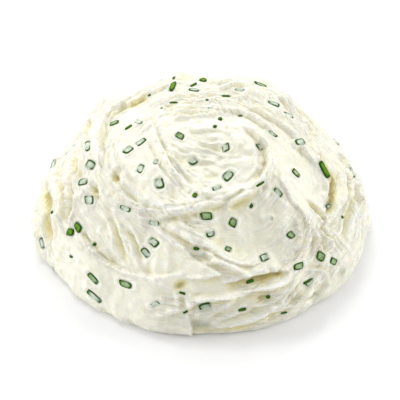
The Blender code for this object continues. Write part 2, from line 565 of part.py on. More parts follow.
def main():
    for item in list(bpy.data.objects):
        bpy.data.objects.remove(item, do_unlink=True)
    group = bpy.data.collections.new("whipped_chive_cream_cheese")
    bits = bpy.data.collections.new("chive_bits")
    bpy.context.scene.collection.children.link(group)
    bpy.context.scene.collection.children.link(bits)
    cream = material("cream", (0.86, 0.83, 0.68), 0.42)
    green = material("chive", (0.10, 0.24, 0.04), 0.45)

    # the skin, thinned where it is smooth, then closed by its flat foot
    skin = bpy.data.objects.new("cream_cheese", skin_mesh(CELLS))
    group.objects.link(skin)
    fine = 2 * len(skin.data.polygons)
    thin = skin.modifiers.new("thin", "DECIMATE")
    thin.ratio = SKIN_TRIANGLES / fine
    bpy.context.view_layer.update()
    solved = skin.evaluated_get(bpy.context.evaluated_depsgraph_get())
    shape = bpy.data.meshes.new_from_object(solved)
    skin.modifiers.clear()
    skin.data = shape
    body = bmesh.new()
    body.from_mesh(shape)
    bmesh.ops.triangulate(body, faces=body.faces[:])
    rim = [edge for edge in body.edges if edge.is_boundary]
    for vert in {vert for edge in rim for vert in edge.verts}:
        vert.co.z = 0.0
    bmesh.ops.contextual_create(body, geom=rim)
    bmesh.ops.recalc_face_normals(body, faces=body.faces[:])
    body.to_mesh(shape)
    body.free()
    shape.materials.append(cream)

    # the chives, joined to the skin in one union
    for k, place in enumerate(chive_places()):
        cut_chive(f"chive_{k:02d}", place, green, bits)
    union = skin.modifiers.new("union", "BOOLEAN")
    union.operation = "UNION"
    union.operand_type = "COLLECTION"
    union.collection = bits
    union.solver = "MANIFOLD"
    bpy.context.view_layer.update()
    solved = skin.evaluated_get(bpy.context.evaluated_depsgraph_get())
    joined = bpy.data.meshes.new_from_object(solved)
    skin.modifiers.clear()
    skin.data = joined
    for item in list(bits.objects):
        bpy.data.objects.remove(item, do_unlink=True)
    bpy.data.collections.remove(bits)
    print("surfaces", keep_whole(joined))

    # the origin at the middle of the foot, and metres
    spread = np.array([vert.co[:] for vert in joined.vertices])
    low, high = spread.min(axis=0), spread.max(axis=0)
    shift = Matrix.Translation((-(low[0] + high[0]) / 2, -(low[1] + high[1]) / 2, -low[2]))
    joined.transform(Matrix.Scale(0.001, 4) @ shift)
    joined.shade_smooth()
    joined.set_sharp_from_angle(angle=math.radians(45))
    joined.name = "cream_cheese"
    print("triangles", sum(len(face.vertices) - 2 for face in joined.polygons))
    print("low", low, "high", high)


main()
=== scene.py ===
# %% [markdown]
# # Whipped chive cream cheese
#
# A mound of soft cheese lies on a pale table. Somebody dropped it there and swirled it with a
# palette knife, so its skin is a record of that one movement: long folds run round an eye near the
# top. Bits of chopped chive show in the skin. The solid model of the mound exists already. We load
# it first.

# %% Load the solid model
import math

import bpy
import numpy as np
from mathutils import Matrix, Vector


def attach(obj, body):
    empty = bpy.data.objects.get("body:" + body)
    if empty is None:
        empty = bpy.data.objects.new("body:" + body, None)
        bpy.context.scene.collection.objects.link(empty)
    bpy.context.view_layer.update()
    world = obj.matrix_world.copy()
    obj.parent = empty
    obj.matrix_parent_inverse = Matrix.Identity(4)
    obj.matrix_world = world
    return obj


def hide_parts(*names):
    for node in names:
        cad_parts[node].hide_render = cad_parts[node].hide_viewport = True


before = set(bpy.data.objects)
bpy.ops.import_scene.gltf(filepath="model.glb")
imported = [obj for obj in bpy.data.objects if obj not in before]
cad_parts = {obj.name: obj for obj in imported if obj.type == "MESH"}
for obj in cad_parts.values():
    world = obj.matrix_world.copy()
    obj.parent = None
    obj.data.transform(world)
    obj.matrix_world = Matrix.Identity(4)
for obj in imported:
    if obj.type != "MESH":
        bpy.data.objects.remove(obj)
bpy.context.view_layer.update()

# %% [markdown]
# ## The camera
#
# A product picture like this one is taken from a step back with a long lens, looking down at about
# 40 degrees. A long lens keeps the round foot from bulging. We set the camera up before any
# modelling, because later the chives are placed where the picture shows them: a line of sight is
# sent through each spot of the picture and meets the skin there.

# %% Camera at the picture's angle
MM = 0.001
PICTURE = 400
LOOK_DOWN = math.radians(40)
HALF_VIEW = math.radians(12)
CAMERA_AWAY = 0.32956
FRAMING_SHIFT = 11.16 / PICTURE
# where the dome's axis stands, in millimetres from the origin
RECENTRE = (-0.087, 0.463)

lens = bpy.data.cameras.new("picture_camera")
lens.sensor_width = 36
lens.lens = 18 / math.tan(HALF_VIEW)
lens.shift_y = FRAMING_SHIFT
lens.clip_start = 0.01
camera = bpy.data.objects.new("picture_camera", lens)
bpy.context.scene.collection.objects.link(camera)
camera.location = (RECENTRE[0] * MM, RECENTRE[1] * MM - math.cos(LOOK_DOWN) * CAMERA_AWAY,
                   math.sin(LOOK_DOWN) * CAMERA_AWAY)
camera.rotation_euler = (math.pi / 2 - LOOK_DOWN, 0, 0)
bpy.context.scene.camera = camera
print("camera at", tuple(camera.location))

# %% [markdown]
# ## The mound's side view
#
# Without its folds the mound is a low dome whose edge tucks under a little, the way soft cheese
# sits on a table. We draw half of its side view as a curve and measure the length along it. That
# length lets us unroll the skin into a flat map: a point of the map lies as far from the middle as
# it lies from the crown along the skin. On a flat map a fold is easy to draw.

# %% Side view and its length
RADIUS, HEIGHT = 58.0, 44.0
LIP_HEIGHT, FOOT_RADIUS = 4.0, 55.5
SHOULDER_POWER, CROWN_POWER = 0.794, 1.531


def side_view():
    """From the crown to the foot: distance along the skin, breadth and level, in millimetres."""
    turn = np.linspace(0.0, math.pi / 2, 240)
    dome_r = RADIUS * np.sin(turn) ** SHOULDER_POWER
    dome_z = LIP_HEIGHT + (HEIGHT - LIP_HEIGHT) * np.cos(turn) ** CROWN_POWER
    tuck = np.linspace(0.0, math.pi / 2, 24)[1:]
    tuck_r = FOOT_RADIUS + (RADIUS - FOOT_RADIUS) * np.cos(tuck)
    tuck_z = LIP_HEIGHT * (1 - np.sin(tuck))
    breadth = np.concatenate([dome_r, tuck_r])
    level = np.concatenate([dome_z, tuck_z])
    steps = np.hypot(np.diff(breadth), np.diff(level))
    return np.concatenate([[0.0], np.cumsum(steps)]), breadth, level


ALONG, BREADTH, LEVEL = side_view()
SKIN_LENGTH = ALONG[-1]
print(f"from crown to foot along the skin: {SKIN_LENGTH:.1f} mm")

# %% [markdown]
# ## Noise and strands
#
# Soft cheese tears into fine strands under a knife. A computer draws such things from noise, a
# smooth wavering between numbers on a grid. Blender has noise textures, but here we want the height
# as numbers, so that the folds become real shape. Stretching the noise along the knife's way turns
# blobs into strands.

# %% Noise that repeats the same way each run
SEED = 7
NOISE_CELLS = 256


def smooth_step(low, high, value):
    share = np.clip((value - low) / (high - low), 0.0, 1.0)
    return share * share * (3 - 2 * share)


def noise(u, v, seed, wrap=NOISE_CELLS):
    """Smooth noise from -1 to 1, one bump a unit, which repeats after wrap units of v."""
    draw = np.random.default_rng(SEED * 1000 + seed)
    table = draw.uniform(-1, 1, (NOISE_CELLS, NOISE_CELLS))
    i, j = np.floor(u).astype(int), np.floor(v).astype(int)
    fu, fv = smooth_step(0, 1, u - i), smooth_step(0, 1, v - j)
    i0, i1 = i % NOISE_CELLS, (i + 1) % NOISE_CELLS
    j0, j1 = (j % wrap) % NOISE_CELLS, ((j + 1) % wrap) % NOISE_CELLS
    low = table[i0, j0] * (1 - fu) + table[i1, j0] * fu
    high = table[i0, j1] * (1 - fu) + table[i1, j1] * fu
    return low * (1 - fv) + high * fv


def strands(across, along, seed, wrap=NOISE_CELLS):
    """Fine ridges that run along the knife's way, from 0 to 1, one a unit of across."""
    drift = 0.7 * noise(across * 0.35, along, seed + 1, wrap)
    coarse = 1 - np.abs(noise(across + drift, along, seed + 2, wrap))
    fine = 1 - np.abs(noise(across * 2.3 + drift, along * 2, seed + 3, 2 * wrap))
    return 0.65 * coarse**2 + 0.35 * fine**2


# %% [markdown]
# ## The plain mound
#
# Before the knife's marks come the broad forms. The mound sags at its left and behind, and its foot
# isn't a perfect circle, because soft cheese creeps a few millimetres further in some directions.
# The height of the map is laid on the dome square to its side view. Near the foot it is laid level
# instead, so that the underside stays flat on the table.

# %% Swellings and soft lumps
SWELLINGS = (
    (-47.0, 14.0, 19.0, -4.6),
    (-30.0, 41.0, 15.0, -4.4),
    (-20.0, 25.0, 9.0, -2.0),
    (2.0, 34.0, 13.0, -2.6),
    (46.0, 18.0, 17.0, -2.6),
    (-58.0, -2.0, 12.0, -1.0),
    (-8.0, 31.0, 6.0, 1.8),
    (-36.0, 23.0, 6.5, 3.6),
)
LUMP_REACH, LUMP_HEIGHT = 15.0, 1.0


def plain_height(a, b):
    """How far the skin stands out at points of the map before the knife has touched it."""
    height = LUMP_HEIGHT * noise(a / LUMP_REACH + 40, b / LUMP_REACH + 40, 1)
    height += 0.45 * LUMP_HEIGHT * noise(a / 6.5 + 60, b / 6.5 + 60, 2)
    for x, y, reach, rise in SWELLINGS:
        height += rise * np.exp(-((a - x) ** 2 + (b - y) ** 2) / reach**2)
    return height


# %% Stand the map on the dome
SPREADS = (
    (-72.0, 34.0, 2.1),
    (-101.0, 12.0, 1.3),
    (-37.0, 12.0, 1.2),
    (-140.0, 12.0, -0.9),
)


def spread(turn):
    """How far the foot goes past a circle in each direction."""
    growth = np.zeros_like(turn)
    for way, reach, most in SPREADS:
        apart = (np.degrees(turn) - way + 180) % 360 - 180
        growth += most * np.exp(-((apart / reach) ** 2))
    return growth


def stand(a, b, height):
    """The points of the mound, in millimetres, for points of the map and the skin's height."""
    s = np.hypot(a, b)
    turn = np.arctan2(b, a)
    r, z = np.interp(s, ALONG, BREADTH), np.interp(s, ALONG, LEVEL)
    step = 0.5
    dr = (np.interp(s + step, ALONG, BREADTH) - np.interp(s - step, ALONG, BREADTH)) / (2 * step)
    dz = (np.interp(s + step, ALONG, LEVEL) - np.interp(s - step, ALONG, LEVEL)) / (2 * step)
    low = smooth_step(SKIN_LENGTH - 9, SKIN_LENGTH - 4, s)
    out = (-dz) * (1 - low) + low
    rise = np.maximum(dr, 0) * (1 - low)
    size = np.hypot(out, rise) + 1e-9
    share = height * (1 - 0.35 * smooth_step(SKIN_LENGTH - 5, SKIN_LENGTH, s))
    r = r + share * out / size + spread(turn) * smooth_step(30, 76, s)
    z = z + share * rise / size
    return np.stack([r * np.cos(turn), r * np.sin(turn), z], axis=1)


# %% [markdown]
# ## From the picture to the map
#
# We read the knife's marks off the picture, so we need to know which spot of the map each
# spot of the picture shows. A net of points is laid over the plain mound. We work out where the
# camera sees each of them, drop those that face away, and then look up the nearest one.

# %% A net over the plain mound
NET_STEP = 0.35
SHIFT = np.array([RECENTRE[0], RECENTRE[1], 0.0])
PER_UNIT = PICTURE / 2 / math.tan(HALF_VIEW)
PICTURE_MIDDLE = PICTURE / 2 + FRAMING_SHIFT * PICTURE
CAMERA_MM = np.array(camera.location) / MM


def seen_at(points):
    """Where the camera sees points given in millimetres: across and down the picture."""
    away = points * MM - np.array(camera.location)
    ahead = away[:, 1] * math.cos(LOOK_DOWN) - away[:, 2] * math.sin(LOOK_DOWN)
    above = away[:, 1] * math.sin(LOOK_DOWN) + away[:, 2] * math.cos(LOOK_DOWN)
    return PICTURE / 2 + PER_UNIT * away[:, 0] / ahead, PICTURE_MIDDLE - PER_UNIT * above / ahead


rows = np.arange(-SKIN_LENGTH, SKIN_LENGTH, NET_STEP)
net_a, net_b = (grid.ravel() for grid in np.meshgrid(rows, rows))
inside = np.hypot(net_a, net_b) < SKIN_LENGTH - 0.5
net_a, net_b = net_a[inside], net_b[inside]
net_height = plain_height(net_a, net_b)
net = stand(net_a, net_b, net_height) + SHIFT
outward = np.cross(stand(net_a + 0.2, net_b, net_height) + SHIFT - net,
                   stand(net_a, net_b + 0.2, net_height) + SHIFT - net)
faces_camera = ((CAMERA_MM - net) * outward).sum(axis=1) > 0
net_a, net_b = net_a[faces_camera], net_b[faces_camera]
net_x, net_y = seen_at(net[faces_camera])


def on_map(x, y):
    """The spot of the map that a spot of the picture shows."""
    nearest = np.argmin((net_x - x) ** 2 + (net_y - y) ** 2)
    return net_a[nearest], net_b[nearest]


print(len(net_a), "points of the net face the camera; the picture's middle shows", on_map(200, 200))

# %% [markdown]
# ## Smooth lines
#
# A mark of the knife is a smooth line through a few spots of the picture, with a strength at each,
# so that it fades in and out. For each point of the map near a line we need two measures: how far
# along the line it is, and how far beside it.

# %% Smooth lines and distances beside them
EYE = (2.0, -20.0)
STEPS_A_SPAN = 24
AT_ONCE = 4000


def smooth_line(knots):
    """A smooth line through knots on the map: its points, strength and length."""
    knots = np.array(knots, float)
    count = len(knots)
    fine = np.linspace(0, count - 1, STEPS_A_SPAN * (count - 1) + 1)
    i = np.minimum(fine.astype(int), count - 2)
    t = (fine - i)[:, None]
    padded = np.vstack([2 * knots[0] - knots[1], knots, 2 * knots[-1] - knots[-2]])
    before, start, end, after = (padded[i + k] for k in range(4))
    x, y, strength = (start + 0.5 * t * (end - before + t * (2 * before - 5 * start + 4 * end - after
                      + t * (3 * (start - end) + after - before)))).T
    length = np.concatenate([[0.0], np.cumsum(np.hypot(np.diff(x), np.diff(y)))])
    return x, y, np.clip(strength, 0, 1), length


def with_strength(stations):
    """Stations of the picture: across, down, strength. One without a strength gets the full 1."""
    return [(*row, 1)[:3] for row in stations]


def line_through(stations):
    """A smooth line through stations of the picture."""
    return smooth_line([(*on_map(x, y), strength) for x, y, strength in with_strength(stations)])


def beside(line, a, b, reach):
    """For the map's points near a line: which they are, how far across and along, strength."""
    x, y, strength, length = line
    near = ((a > x.min() - reach) & (a < x.max() + reach)
            & (b > y.min() - reach) & (b < y.max() + reach))
    pick = np.nonzero(near)[0]
    tx, ty = np.gradient(x, length), np.gradient(y, length)
    along = np.zeros(len(pick))
    for first in range(0, len(pick), AT_ONCE):
        part = slice(first, first + AT_ONCE)
        dx = a[pick[part], None] - x
        dy = b[pick[part], None] - y
        k = np.argmin(dx * dx + dy * dy, axis=1)
        row = np.arange(len(k))
        along[part] = length[k] + dx[row, k] * tx[k] + dy[row, k] * ty[k]
    px, py, qx, qy, power = (np.interp(along, length, v) for v in (x, y, tx, ty, strength))
    across = (a[pick] - px) * qy - (b[pick] - py) * qx
    beyond = np.maximum(np.maximum(-along, along - length[-1]), 0)
    power *= np.exp(-((beyond / 1.5) ** 2))
    close = (np.abs(across) < reach) & (power > 0.002)
    return pick[close], across[close], along[close], power[close]


# %% [markdown]
# ## The marks of a palette knife
#
# Five kinds of mark shape the skin. A fold is a crest that the blade pushed up, with a crease
# at its steep foot. A bundle is several fine folds side by side. A groove is scraped by the blade's
# corner, and the same line with its depth turned round is a thin ridge. A plate is where the flat of
# the blade smoothed the cheese, and a dent is a single hollow or, turned round, a knob.

# %% Folds and bundles
CREST_GAIN, CREASE_GAIN, BUNDLE_GAIN, GROOVE_GAIN = 1.5, 0.78, 1.6, 1.6


def fold(height, a, b, line, seed, falls, crest, back, crease, recover):
    """A crease on the line, and beside it the crest that falls steeply into it."""
    pick, across, along, power = beside(line, a, b, 3.2 * max(back, recover))
    face = 0.15 * back + 0.16 * (crest + crease)
    out = falls * across + face + 0.3 * noise(along * 0.22, along * 0.0, seed)
    crest_here = crest * (1 + 0.35 * noise(along * 0.30, along * 0.0, seed + 5))
    crease_here = crease * (1 + 0.35 * noise(along * 0.26, along * 0.0, seed + 9))
    up = crest_here * np.exp(-((np.maximum(-out, 0) / back) ** 1.3))
    down = crease_here * np.exp(-((np.maximum(out - face, 0) / recover) ** 1.2))
    blend = smooth_step(0, face, out)
    comb = strands(out * 0.9, along * 0.06, seed + 13) - 0.45
    rough = 0.22 * crest * comb * np.exp(-((out / (1.2 * back)) ** 2))
    height[pick] += power * (up * (1 - blend) - down * blend + rough)


def bundle(height, a, b, seed, count, crest, reach, first, last):
    """Fine folds side by side, which fan out or draw together between two lines."""
    draw = np.random.default_rng(SEED * 77 + seed)
    first, last = (np.array(with_strength(line), float) for line in (first, last))
    for i in range(count):
        share = (i + draw.uniform(0.1, 0.9)) / count
        line = first * (1 - share) + last * share
        line[:, 2] *= draw.uniform(0.4, 1.0)
        skipped = draw.uniform(0, 0.45, 2)
        keep = slice(int(skipped[0] * len(line)), len(line) - int(skipped[1] * len(line)))
        side = 1 if draw.random() < 0.5 else -1
        fold(height, a, b, line_through(line[keep]), seed + 16 * i, side, BUNDLE_GAIN * crest,
             1.25 * reach, 0.7 * BUNDLE_GAIN * crest, 1.1 * reach)


# %% Grooves, plates and dents


def groove(height, a, b, line, seed, depth, half_width, rim):
    """A scraped line with a low rim on both sides; a negative depth makes it a ridge."""
    pick, across, along, power = beside(line, a, b, 4 * half_width)
    offset = across + 0.3 * noise(along * 0.25, along * 0.0, seed)
    share = np.abs(offset) / (half_width * (1 + 0.25 * noise(along * 0.35, along * 0.0, seed + 2)))
    deep = GROOVE_GAIN * depth * (1 + 0.25 * noise(along * 0.3, along * 0.0, seed + 4))
    height[pick] += power * (rim * np.exp(-((share - 1.7) / 0.7) ** 2) - deep * np.exp(-share**2))


def plate(height, smooth, a, b, line, seed, half_width, depth):
    """The flat of the knife: it wipes the marks away and presses the cheese in a little."""
    pick, across, along, power = beside(line, a, b, 1.5 * half_width)
    share = np.abs(across + 0.8 * noise(along * 0.12, along * 0.0, seed)) / half_width
    cover = power * (1 - smooth_step(0.72, 1.1, share))
    pressed = -depth * (1 - 0.6 * np.minimum(share, 1) ** 2)
    height[pick] = height[pick] * (1 - 0.86 * cover) + pressed * cover
    smooth[pick] = np.maximum(smooth[pick], cover)


def dent(height, a, b, x, y, length, breadth, turn, depth):
    """A single hollow, or a knob where the depth is negative, at a spot of the picture."""
    centre_a, centre_b = on_map(x, y)
    c, s = math.cos(math.radians(turn)), math.sin(math.radians(turn))
    u = ((a - centre_a) * c + (b - centre_b) * s) / length
    v = ((b - centre_b) * c - (a - centre_a) * s) / breadth
    height -= depth * np.exp(-((u * u + v * v) ** 1.2))


# %% [markdown]
# ## Where the marks lie
#
# These lists are the swirl itself, read from the picture. Each line is a row of stations:
# across and down the picture, and how strong the mark is there, where it isn't at its full strength
# of 1. A fold's line runs along the bottom of its crease. The first number of a fold says where the
# crest falls to: 1 is to the right of the line's way, and -1 to the left.

# %% The folds
FOLDS = (
    # the ridge under the bowl: its long crease, the part behind the flap, and the bowl's own rim
    (1, 1.6, 3.0, 1.0, 1.7, ((128, 219, 0.1), (140, 222, 0.2), (150, 221.5, 0.3), (160, 220.3, 0.4),
     (170, 218.6, 0.5), (180, 217.2, 0.7), (190, 215.6), (198, 212.8), (206, 209.3),
     (214, 206.4), (221, 204, 0.9), (225, 203, 0.5))),
    (1, 1.2, 1.6, 1.8, 2.4, ((228, 206.5, 0.3), (233, 204.6, 0.9), (239, 201.8), (245, 198),
     (250, 194.6, 0.9), (256, 191.5, 0.6), (264, 187, 0.3))),
    (1, 0.7, 2.6, 0.9, 1.0, ((200, 192, 0.3), (206, 197, 0.7), (214, 200, 0.5), (222, 199.2, 0.7),
     (230, 196, 0.8), (238, 192.3, 0.8), (246, 188.5, 0.9), (254, 185.5, 0.9), (260, 183, 0.4))),
    # the bowl: its left rim, its right crease and the thin rim inside that, its upper edge
    (-1, 0.6, 2.4, 0.5, 3.0, ((170, 153, 0.3), (176, 157, 0.7), (183, 162, 0.9), (190, 167),
     (198, 171.5, 0.9), (207, 175, 0.7), (216, 179, 0.5), (222, 181, 0.2))),
    (-1, 0.8, 1.6, 0.4, 1.2, ((152, 118, 0.3), (156, 130, 0.8), (161, 144), (168, 158, 0.8),
     (176, 170, 0.5), (186, 181, 0.6), (197, 190, 0.7), (206, 196, 0.3))),
    (-1, 0.6, 1.4, 0.3, 1.0, ((146, 135, 0.3), (150, 148, 0.8), (156, 160), (164, 172),
     (174, 183), (186, 191, 0.8), (196, 197, 0.3))),
    (1, 1.0, 1.6, 1.5, 1.7, ((247, 128, 0.3), (253, 132.5, 0.8), (258, 137.5), (262, 143),
     (265.5, 150), (267.5, 157), (267, 164), (263.5, 171), (258.5, 177, 0.9),
     (252, 182.5, 0.8), (245, 187.5, 0.5))),
    (-1, 0.4, 1.2, 0.2, 1.6, ((250, 139, 0.3), (255, 147, 0.9), (258, 157), (257.5, 166),
     (254, 174, 0.9), (248, 180, 0.4))),
    (1, 0.35, 2.0, 0.4, 2.5, ((188, 131, 0.3), (196, 130, 0.8), (204, 129.4), (211, 128),
     (218, 129, 0.8), (226, 131.5, 0.7), (232, 136, 0.7), (236, 143, 0.6), (237, 150, 0.4))),
    # the ridge at the right of the bowl, and the left edge of the smooth plate
    (-1, 0.8, 1.6, 0.7, 1.0, ((271, 144, 0.2), (275.5, 152, 0.6), (277.5, 161, 0.8), (278, 170),
     (277, 179), (276, 187, 0.9), (274, 192, 0.3))),
    (1, 0.5, 1.6, 0.35, 0.9, ((279, 178, 0.3), (281, 184, 0.7), (284, 191, 0.9), (288, 199),
     (292, 204.5), (297, 208.5), (301, 214), (304, 220), (306.5, 226),
     (307, 232, 0.9), (305, 238, 0.4))),
    # the scoop's upper left edge, and the second ridge that parts from the first
    (-1, 0.7, 2.2, 0.4, 3.5, ((176, 219, 0.2), (184, 222.5, 0.8), (192, 227.5),
     (200, 232.5), (208, 237.5, 0.9), (214, 241.5, 0.7), (221, 246, 0.4))),
    (1, 0.8, 2.2, 0.35, 1.5, ((160, 226, 0.1), (166, 229.5, 0.3), (172, 232.5, 0.5), (178, 236, 0.6),
     (185, 240.5), (192, 244.5), (199, 247), (206, 250), (213, 255),
     (221, 258), (229, 261.5), (237, 264.5), (245, 266.3), (253, 265.8, 0.9),
     (261, 264, 0.6), (268, 263, 0.2))),
    (-1, 0.7, 1.6, 0.35, 1.4, ((161, 229, 0.2), (169, 235, 0.4), (177.5, 241, 0.7),
     (185, 246.5), (189.5, 252.5), (196, 258.5), (204, 263), (212, 267.5),
     (219, 271.5, 0.8), (224, 273.5, 0.3))),
    # the deep crease under the lobes, in two parts
    (1, 0.9, 1.6, 1.4, 1.6, ((190, 280, 0.3), (198, 279.5, 0.7), (206, 279), (214, 277.6),
     (219, 277.5, 0.4))),
    (1, 1.0, 1.8, 1.7, 1.8, ((226, 284.5, 0.4), (232, 284), (238, 282.3), (244, 280.6),
     (250, 279.2), (257, 277.4), (264, 275.8), (271, 274.6), (278, 273.2),
     (283, 271.6, 0.6))),
    # the lip along the front and its two creases
    (1, 1.2, 1.4, 1.1, 1.3, ((190, 308, 0.4), (197, 305.5, 0.8), (205, 303.5),
     (213, 301.8), (221, 300.2), (230, 299.2), (239, 298, 0.9), (248, 296.2, 0.8),
     (256, 295, 0.5), (262, 294, 0.2))),
    (1, 1.4, 1.5, 1.4, 1.4, ((240, 295.5, 0.2), (250, 292.8, 0.7), (260, 291.2),
     (270, 290.2), (278, 288.3), (284, 285), (289, 280.5, 0.8), (293, 277.5, 0.3))),
    (-1, 0.9, 1.6, 0.9, 1.2, ((308, 268, 0.3), (314, 267.3, 0.8), (320, 268.2),
     (325, 270.5, 0.9), (328, 273, 0.3))),
    # the trough at the right of the plate
    (-1, 1.3, 1.8, 2.4, 2.0, ((316, 142, 0.3), (319.5, 148, 0.8), (322, 155), (326, 163),
     (330, 171), (332.5, 180), (333.5, 190), (333.5, 199), (331.5, 206, 0.8),
     (328, 211, 0.3))),
    # the long creases of the upper right
    (1, 0.8, 1.7, 0.7, 1.1, ((246, 107, 0.3), (252, 110, 0.8), (259, 113.5), (266, 117),
     (272, 120.2), (278, 124), (284, 128.3), (290, 133.5), (294.5, 139),
     (299, 146), (303, 152), (307, 157.5, 0.9), (312, 162.5, 0.5), (318, 167.5, 0.2))),
    (1, 0.8, 1.4, 1.0, 1.1, ((228, 111.5, 0.4), (235, 113), (242, 115), (249, 117.6),
     (255, 121), (261, 124.5), (267, 128, 0.8), (272, 132, 0.4))),
    (1, 0.8, 1.5, 0.9, 1.3, ((217, 89, 0.3), (225, 88, 0.8), (233, 86.5), (240, 86.3),
     (246, 87, 0.6))),
    (-1, 0.9, 1.8, 1.0, 1.3, ((246, 87, 0.5), (253, 89.8, 0.9), (259, 93), (265, 96.5),
     (272, 98.2), (280, 100.2), (288, 103.2, 0.8), (294, 107, 0.4))),
    (1, 0.8, 1.2, 1.1, 1.2, ((204, 82, 0.4), (210, 83.3), (217, 83.8), (224, 83),
     (231, 81.7, 0.8), (238, 82, 0.3))),
    # the trough of the upper left, and the sheets that hang at the left of it
    (1, 0.8, 1.4, 1.0, 1.3, ((108, 116, 0.4), (112, 112.5, 0.8), (118, 109), (125, 106),
     (132, 104.5), (138, 101), (143, 97.5), (150, 95), (157, 90.5, 0.9),
     (164, 87, 0.8), (172, 84, 0.4))),
    (-1, 1.3, 1.6, 1.5, 1.9, ((110, 114, 0.4), (106.5, 120, 0.9), (104, 127), (102, 134),
     (101, 141, 0.9), (101.5, 148, 0.7), (103, 155, 0.3))),
    (-1, 1.1, 1.0, 1.8, 1.2, ((95, 110, 0.4), (92, 116, 0.9), (90.5, 122), (88, 128.5),
     (86.3, 133, 0.9), (86, 138, 0.5))),
    (1, 1.0, 1.3, 1.0, 1.1, ((95, 113, 0.3), (93.5, 122, 0.9), (93, 132), (92.3, 142, 0.9),
     (91.5, 152, 0.7), (91, 160, 0.3))),
    # the rim of the lower left, over the smooth apron, and a short fold at the front
    (-1, 0.9, 2.0, 1.6, 1.4, ((80, 231, 0.4), (84, 235.5), (88.5, 241), (92.5, 246),
     (97, 251), (102.5, 256), (109, 260.8), (116, 265, 0.8), (124, 268.5, 0.6),
     (133, 271.5, 0.5), (145, 274, 0.5), (158, 274.5, 0.5), (170, 273.5, 0.4), (182, 270.5, 0.2))),
    (-1, 0.7, 2.0, 0.8, 1.3, ((186.5, 311, 0.3), (188.5, 316, 0.8), (190.5, 322),
     (192, 328), (192.5, 334))),
    (1, 0.6, 1.2, 0.4, 1.2, ((158, 318, 0.3), (166, 316.5, 0.8), (174, 314.6),
     (181, 312.5), (187, 310), (193, 307, 0.6))),
)
print(len(FOLDS), "folds")

# %% The bundles of fine folds
BUNDLES = (
    # over the top
    (18, 0.50, 0.50, ((158, 97, 0.3), (175, 95), (195, 93), (215, 92), (236, 95, 0.3)),
     ((160, 119, 0.3), (175, 118), (194, 117), (211, 114), (224, 111, 0.3))),
    # down the left of the bowl, and on the left flank of the ridge
    (9, 0.50, 0.8, ((150, 128, 0.3), (153, 140), (158, 152), (163, 163), (170, 174),
     (178, 184), (186, 193, 0.3)),
     ((166, 128, 0.3), (168, 140), (172, 150), (179, 159), (187, 168),
      (196, 177), (206, 185, 0.3))),
    (5, 0.32, 1.0, ((126, 150, 0.3), (131, 163), (139, 176), (149, 189), (162, 201),
     (178, 205, 0.3)),
     ((146, 140, 0.3), (149, 155), (155, 170), (163, 182), (173, 192),
      (186, 199, 0.3))),
    (4, 0.22, 0.6, ((128, 196, 0.3), (145, 204), (165, 207), (190, 204), (215, 196),
     (240, 186, 0.3)),
     ((132, 208, 0.3), (150, 214), (172, 213), (195, 209), (218, 201),
      (240, 193, 0.3))),
    (5, 0.35, 1.0, ((104, 172, 0.3), (112, 186), (121, 200), (133, 212), (150, 218, 0.3)),
     ((126, 170, 0.3), (134, 183), (144, 195), (158, 206), (176, 212, 0.3))),
    # outside the long crease of the upper right, and down the right side
    (7, 0.75, 1.0, ((262, 88, 0.3), (280, 95), (297, 108), (312, 122), (322, 135, 0.3)),
     ((262, 104, 0.3), (278, 113), (292, 123), (306, 137), (316, 151, 0.3))),
    (7, 0.80, 1.1, ((330, 140, 0.3), (341, 152), (350, 166), (358, 182), (363, 200),
     (363, 220), (358, 240, 0.3)),
     ((330, 152, 0.3), (338, 162), (345, 174), (350, 188), (353, 204),
      (352, 222), (348, 240, 0.3))),
    (4, 0.70, 1.0, ((336, 160, 0.3), (341, 172), (343, 186), (342, 200), (339, 213, 0.3)),
     ((343, 166, 0.3), (348, 178), (350, 190), (348, 202), (345, 214, 0.3))),
    # the upright strands of the left side
    (9, 0.95, 1.1, ((53, 160, 0.3), (51, 174), (50, 186), (55, 200), (57, 214),
     (58, 228, 0.3)),
     ((84, 150, 0.3), (81, 166), (78, 180), (77, 196), (74, 210), (70, 222, 0.3))),
    (4, 0.70, 1.0, ((88, 120, 0.3), (84, 136), (81, 150), (80, 164, 0.3)),
     ((100, 124, 0.3), (98, 138), (97, 150), (97, 162, 0.3))),
    (3, 0.80, 1.0, ((36, 200, 0.3), (36, 214), (37, 228), (39, 240, 0.3)),
     ((40, 196, 0.3), (40, 212), (41, 226), (44, 240, 0.3))),
    # the front under the lip, and the flutes that sweep up to the right
    (4, 0.70, 1.0, ((228, 306, 0.3), (244, 303), (258, 299), (272, 296, 0.3)),
     ((226, 325, 0.3), (242, 320), (258, 314), (276, 306, 0.3))),
    (5, 0.90, 1.1, ((266, 306, 0.3), (276, 300), (284, 292), (291, 284, 0.3)),
     ((294, 307, 0.3), (303, 300), (312, 292), (320, 284, 0.3))),
    (4, 0.55, 1.0, ((301, 252, 0.3), (305, 245), (310, 237), (312, 230, 0.3)),
     ((346, 256, 0.3), (343, 248), (338, 240), (331, 232, 0.3))),
)
print(sum(row[0] for row in BUNDLES), "fine folds in", len(BUNDLES), "bundles")

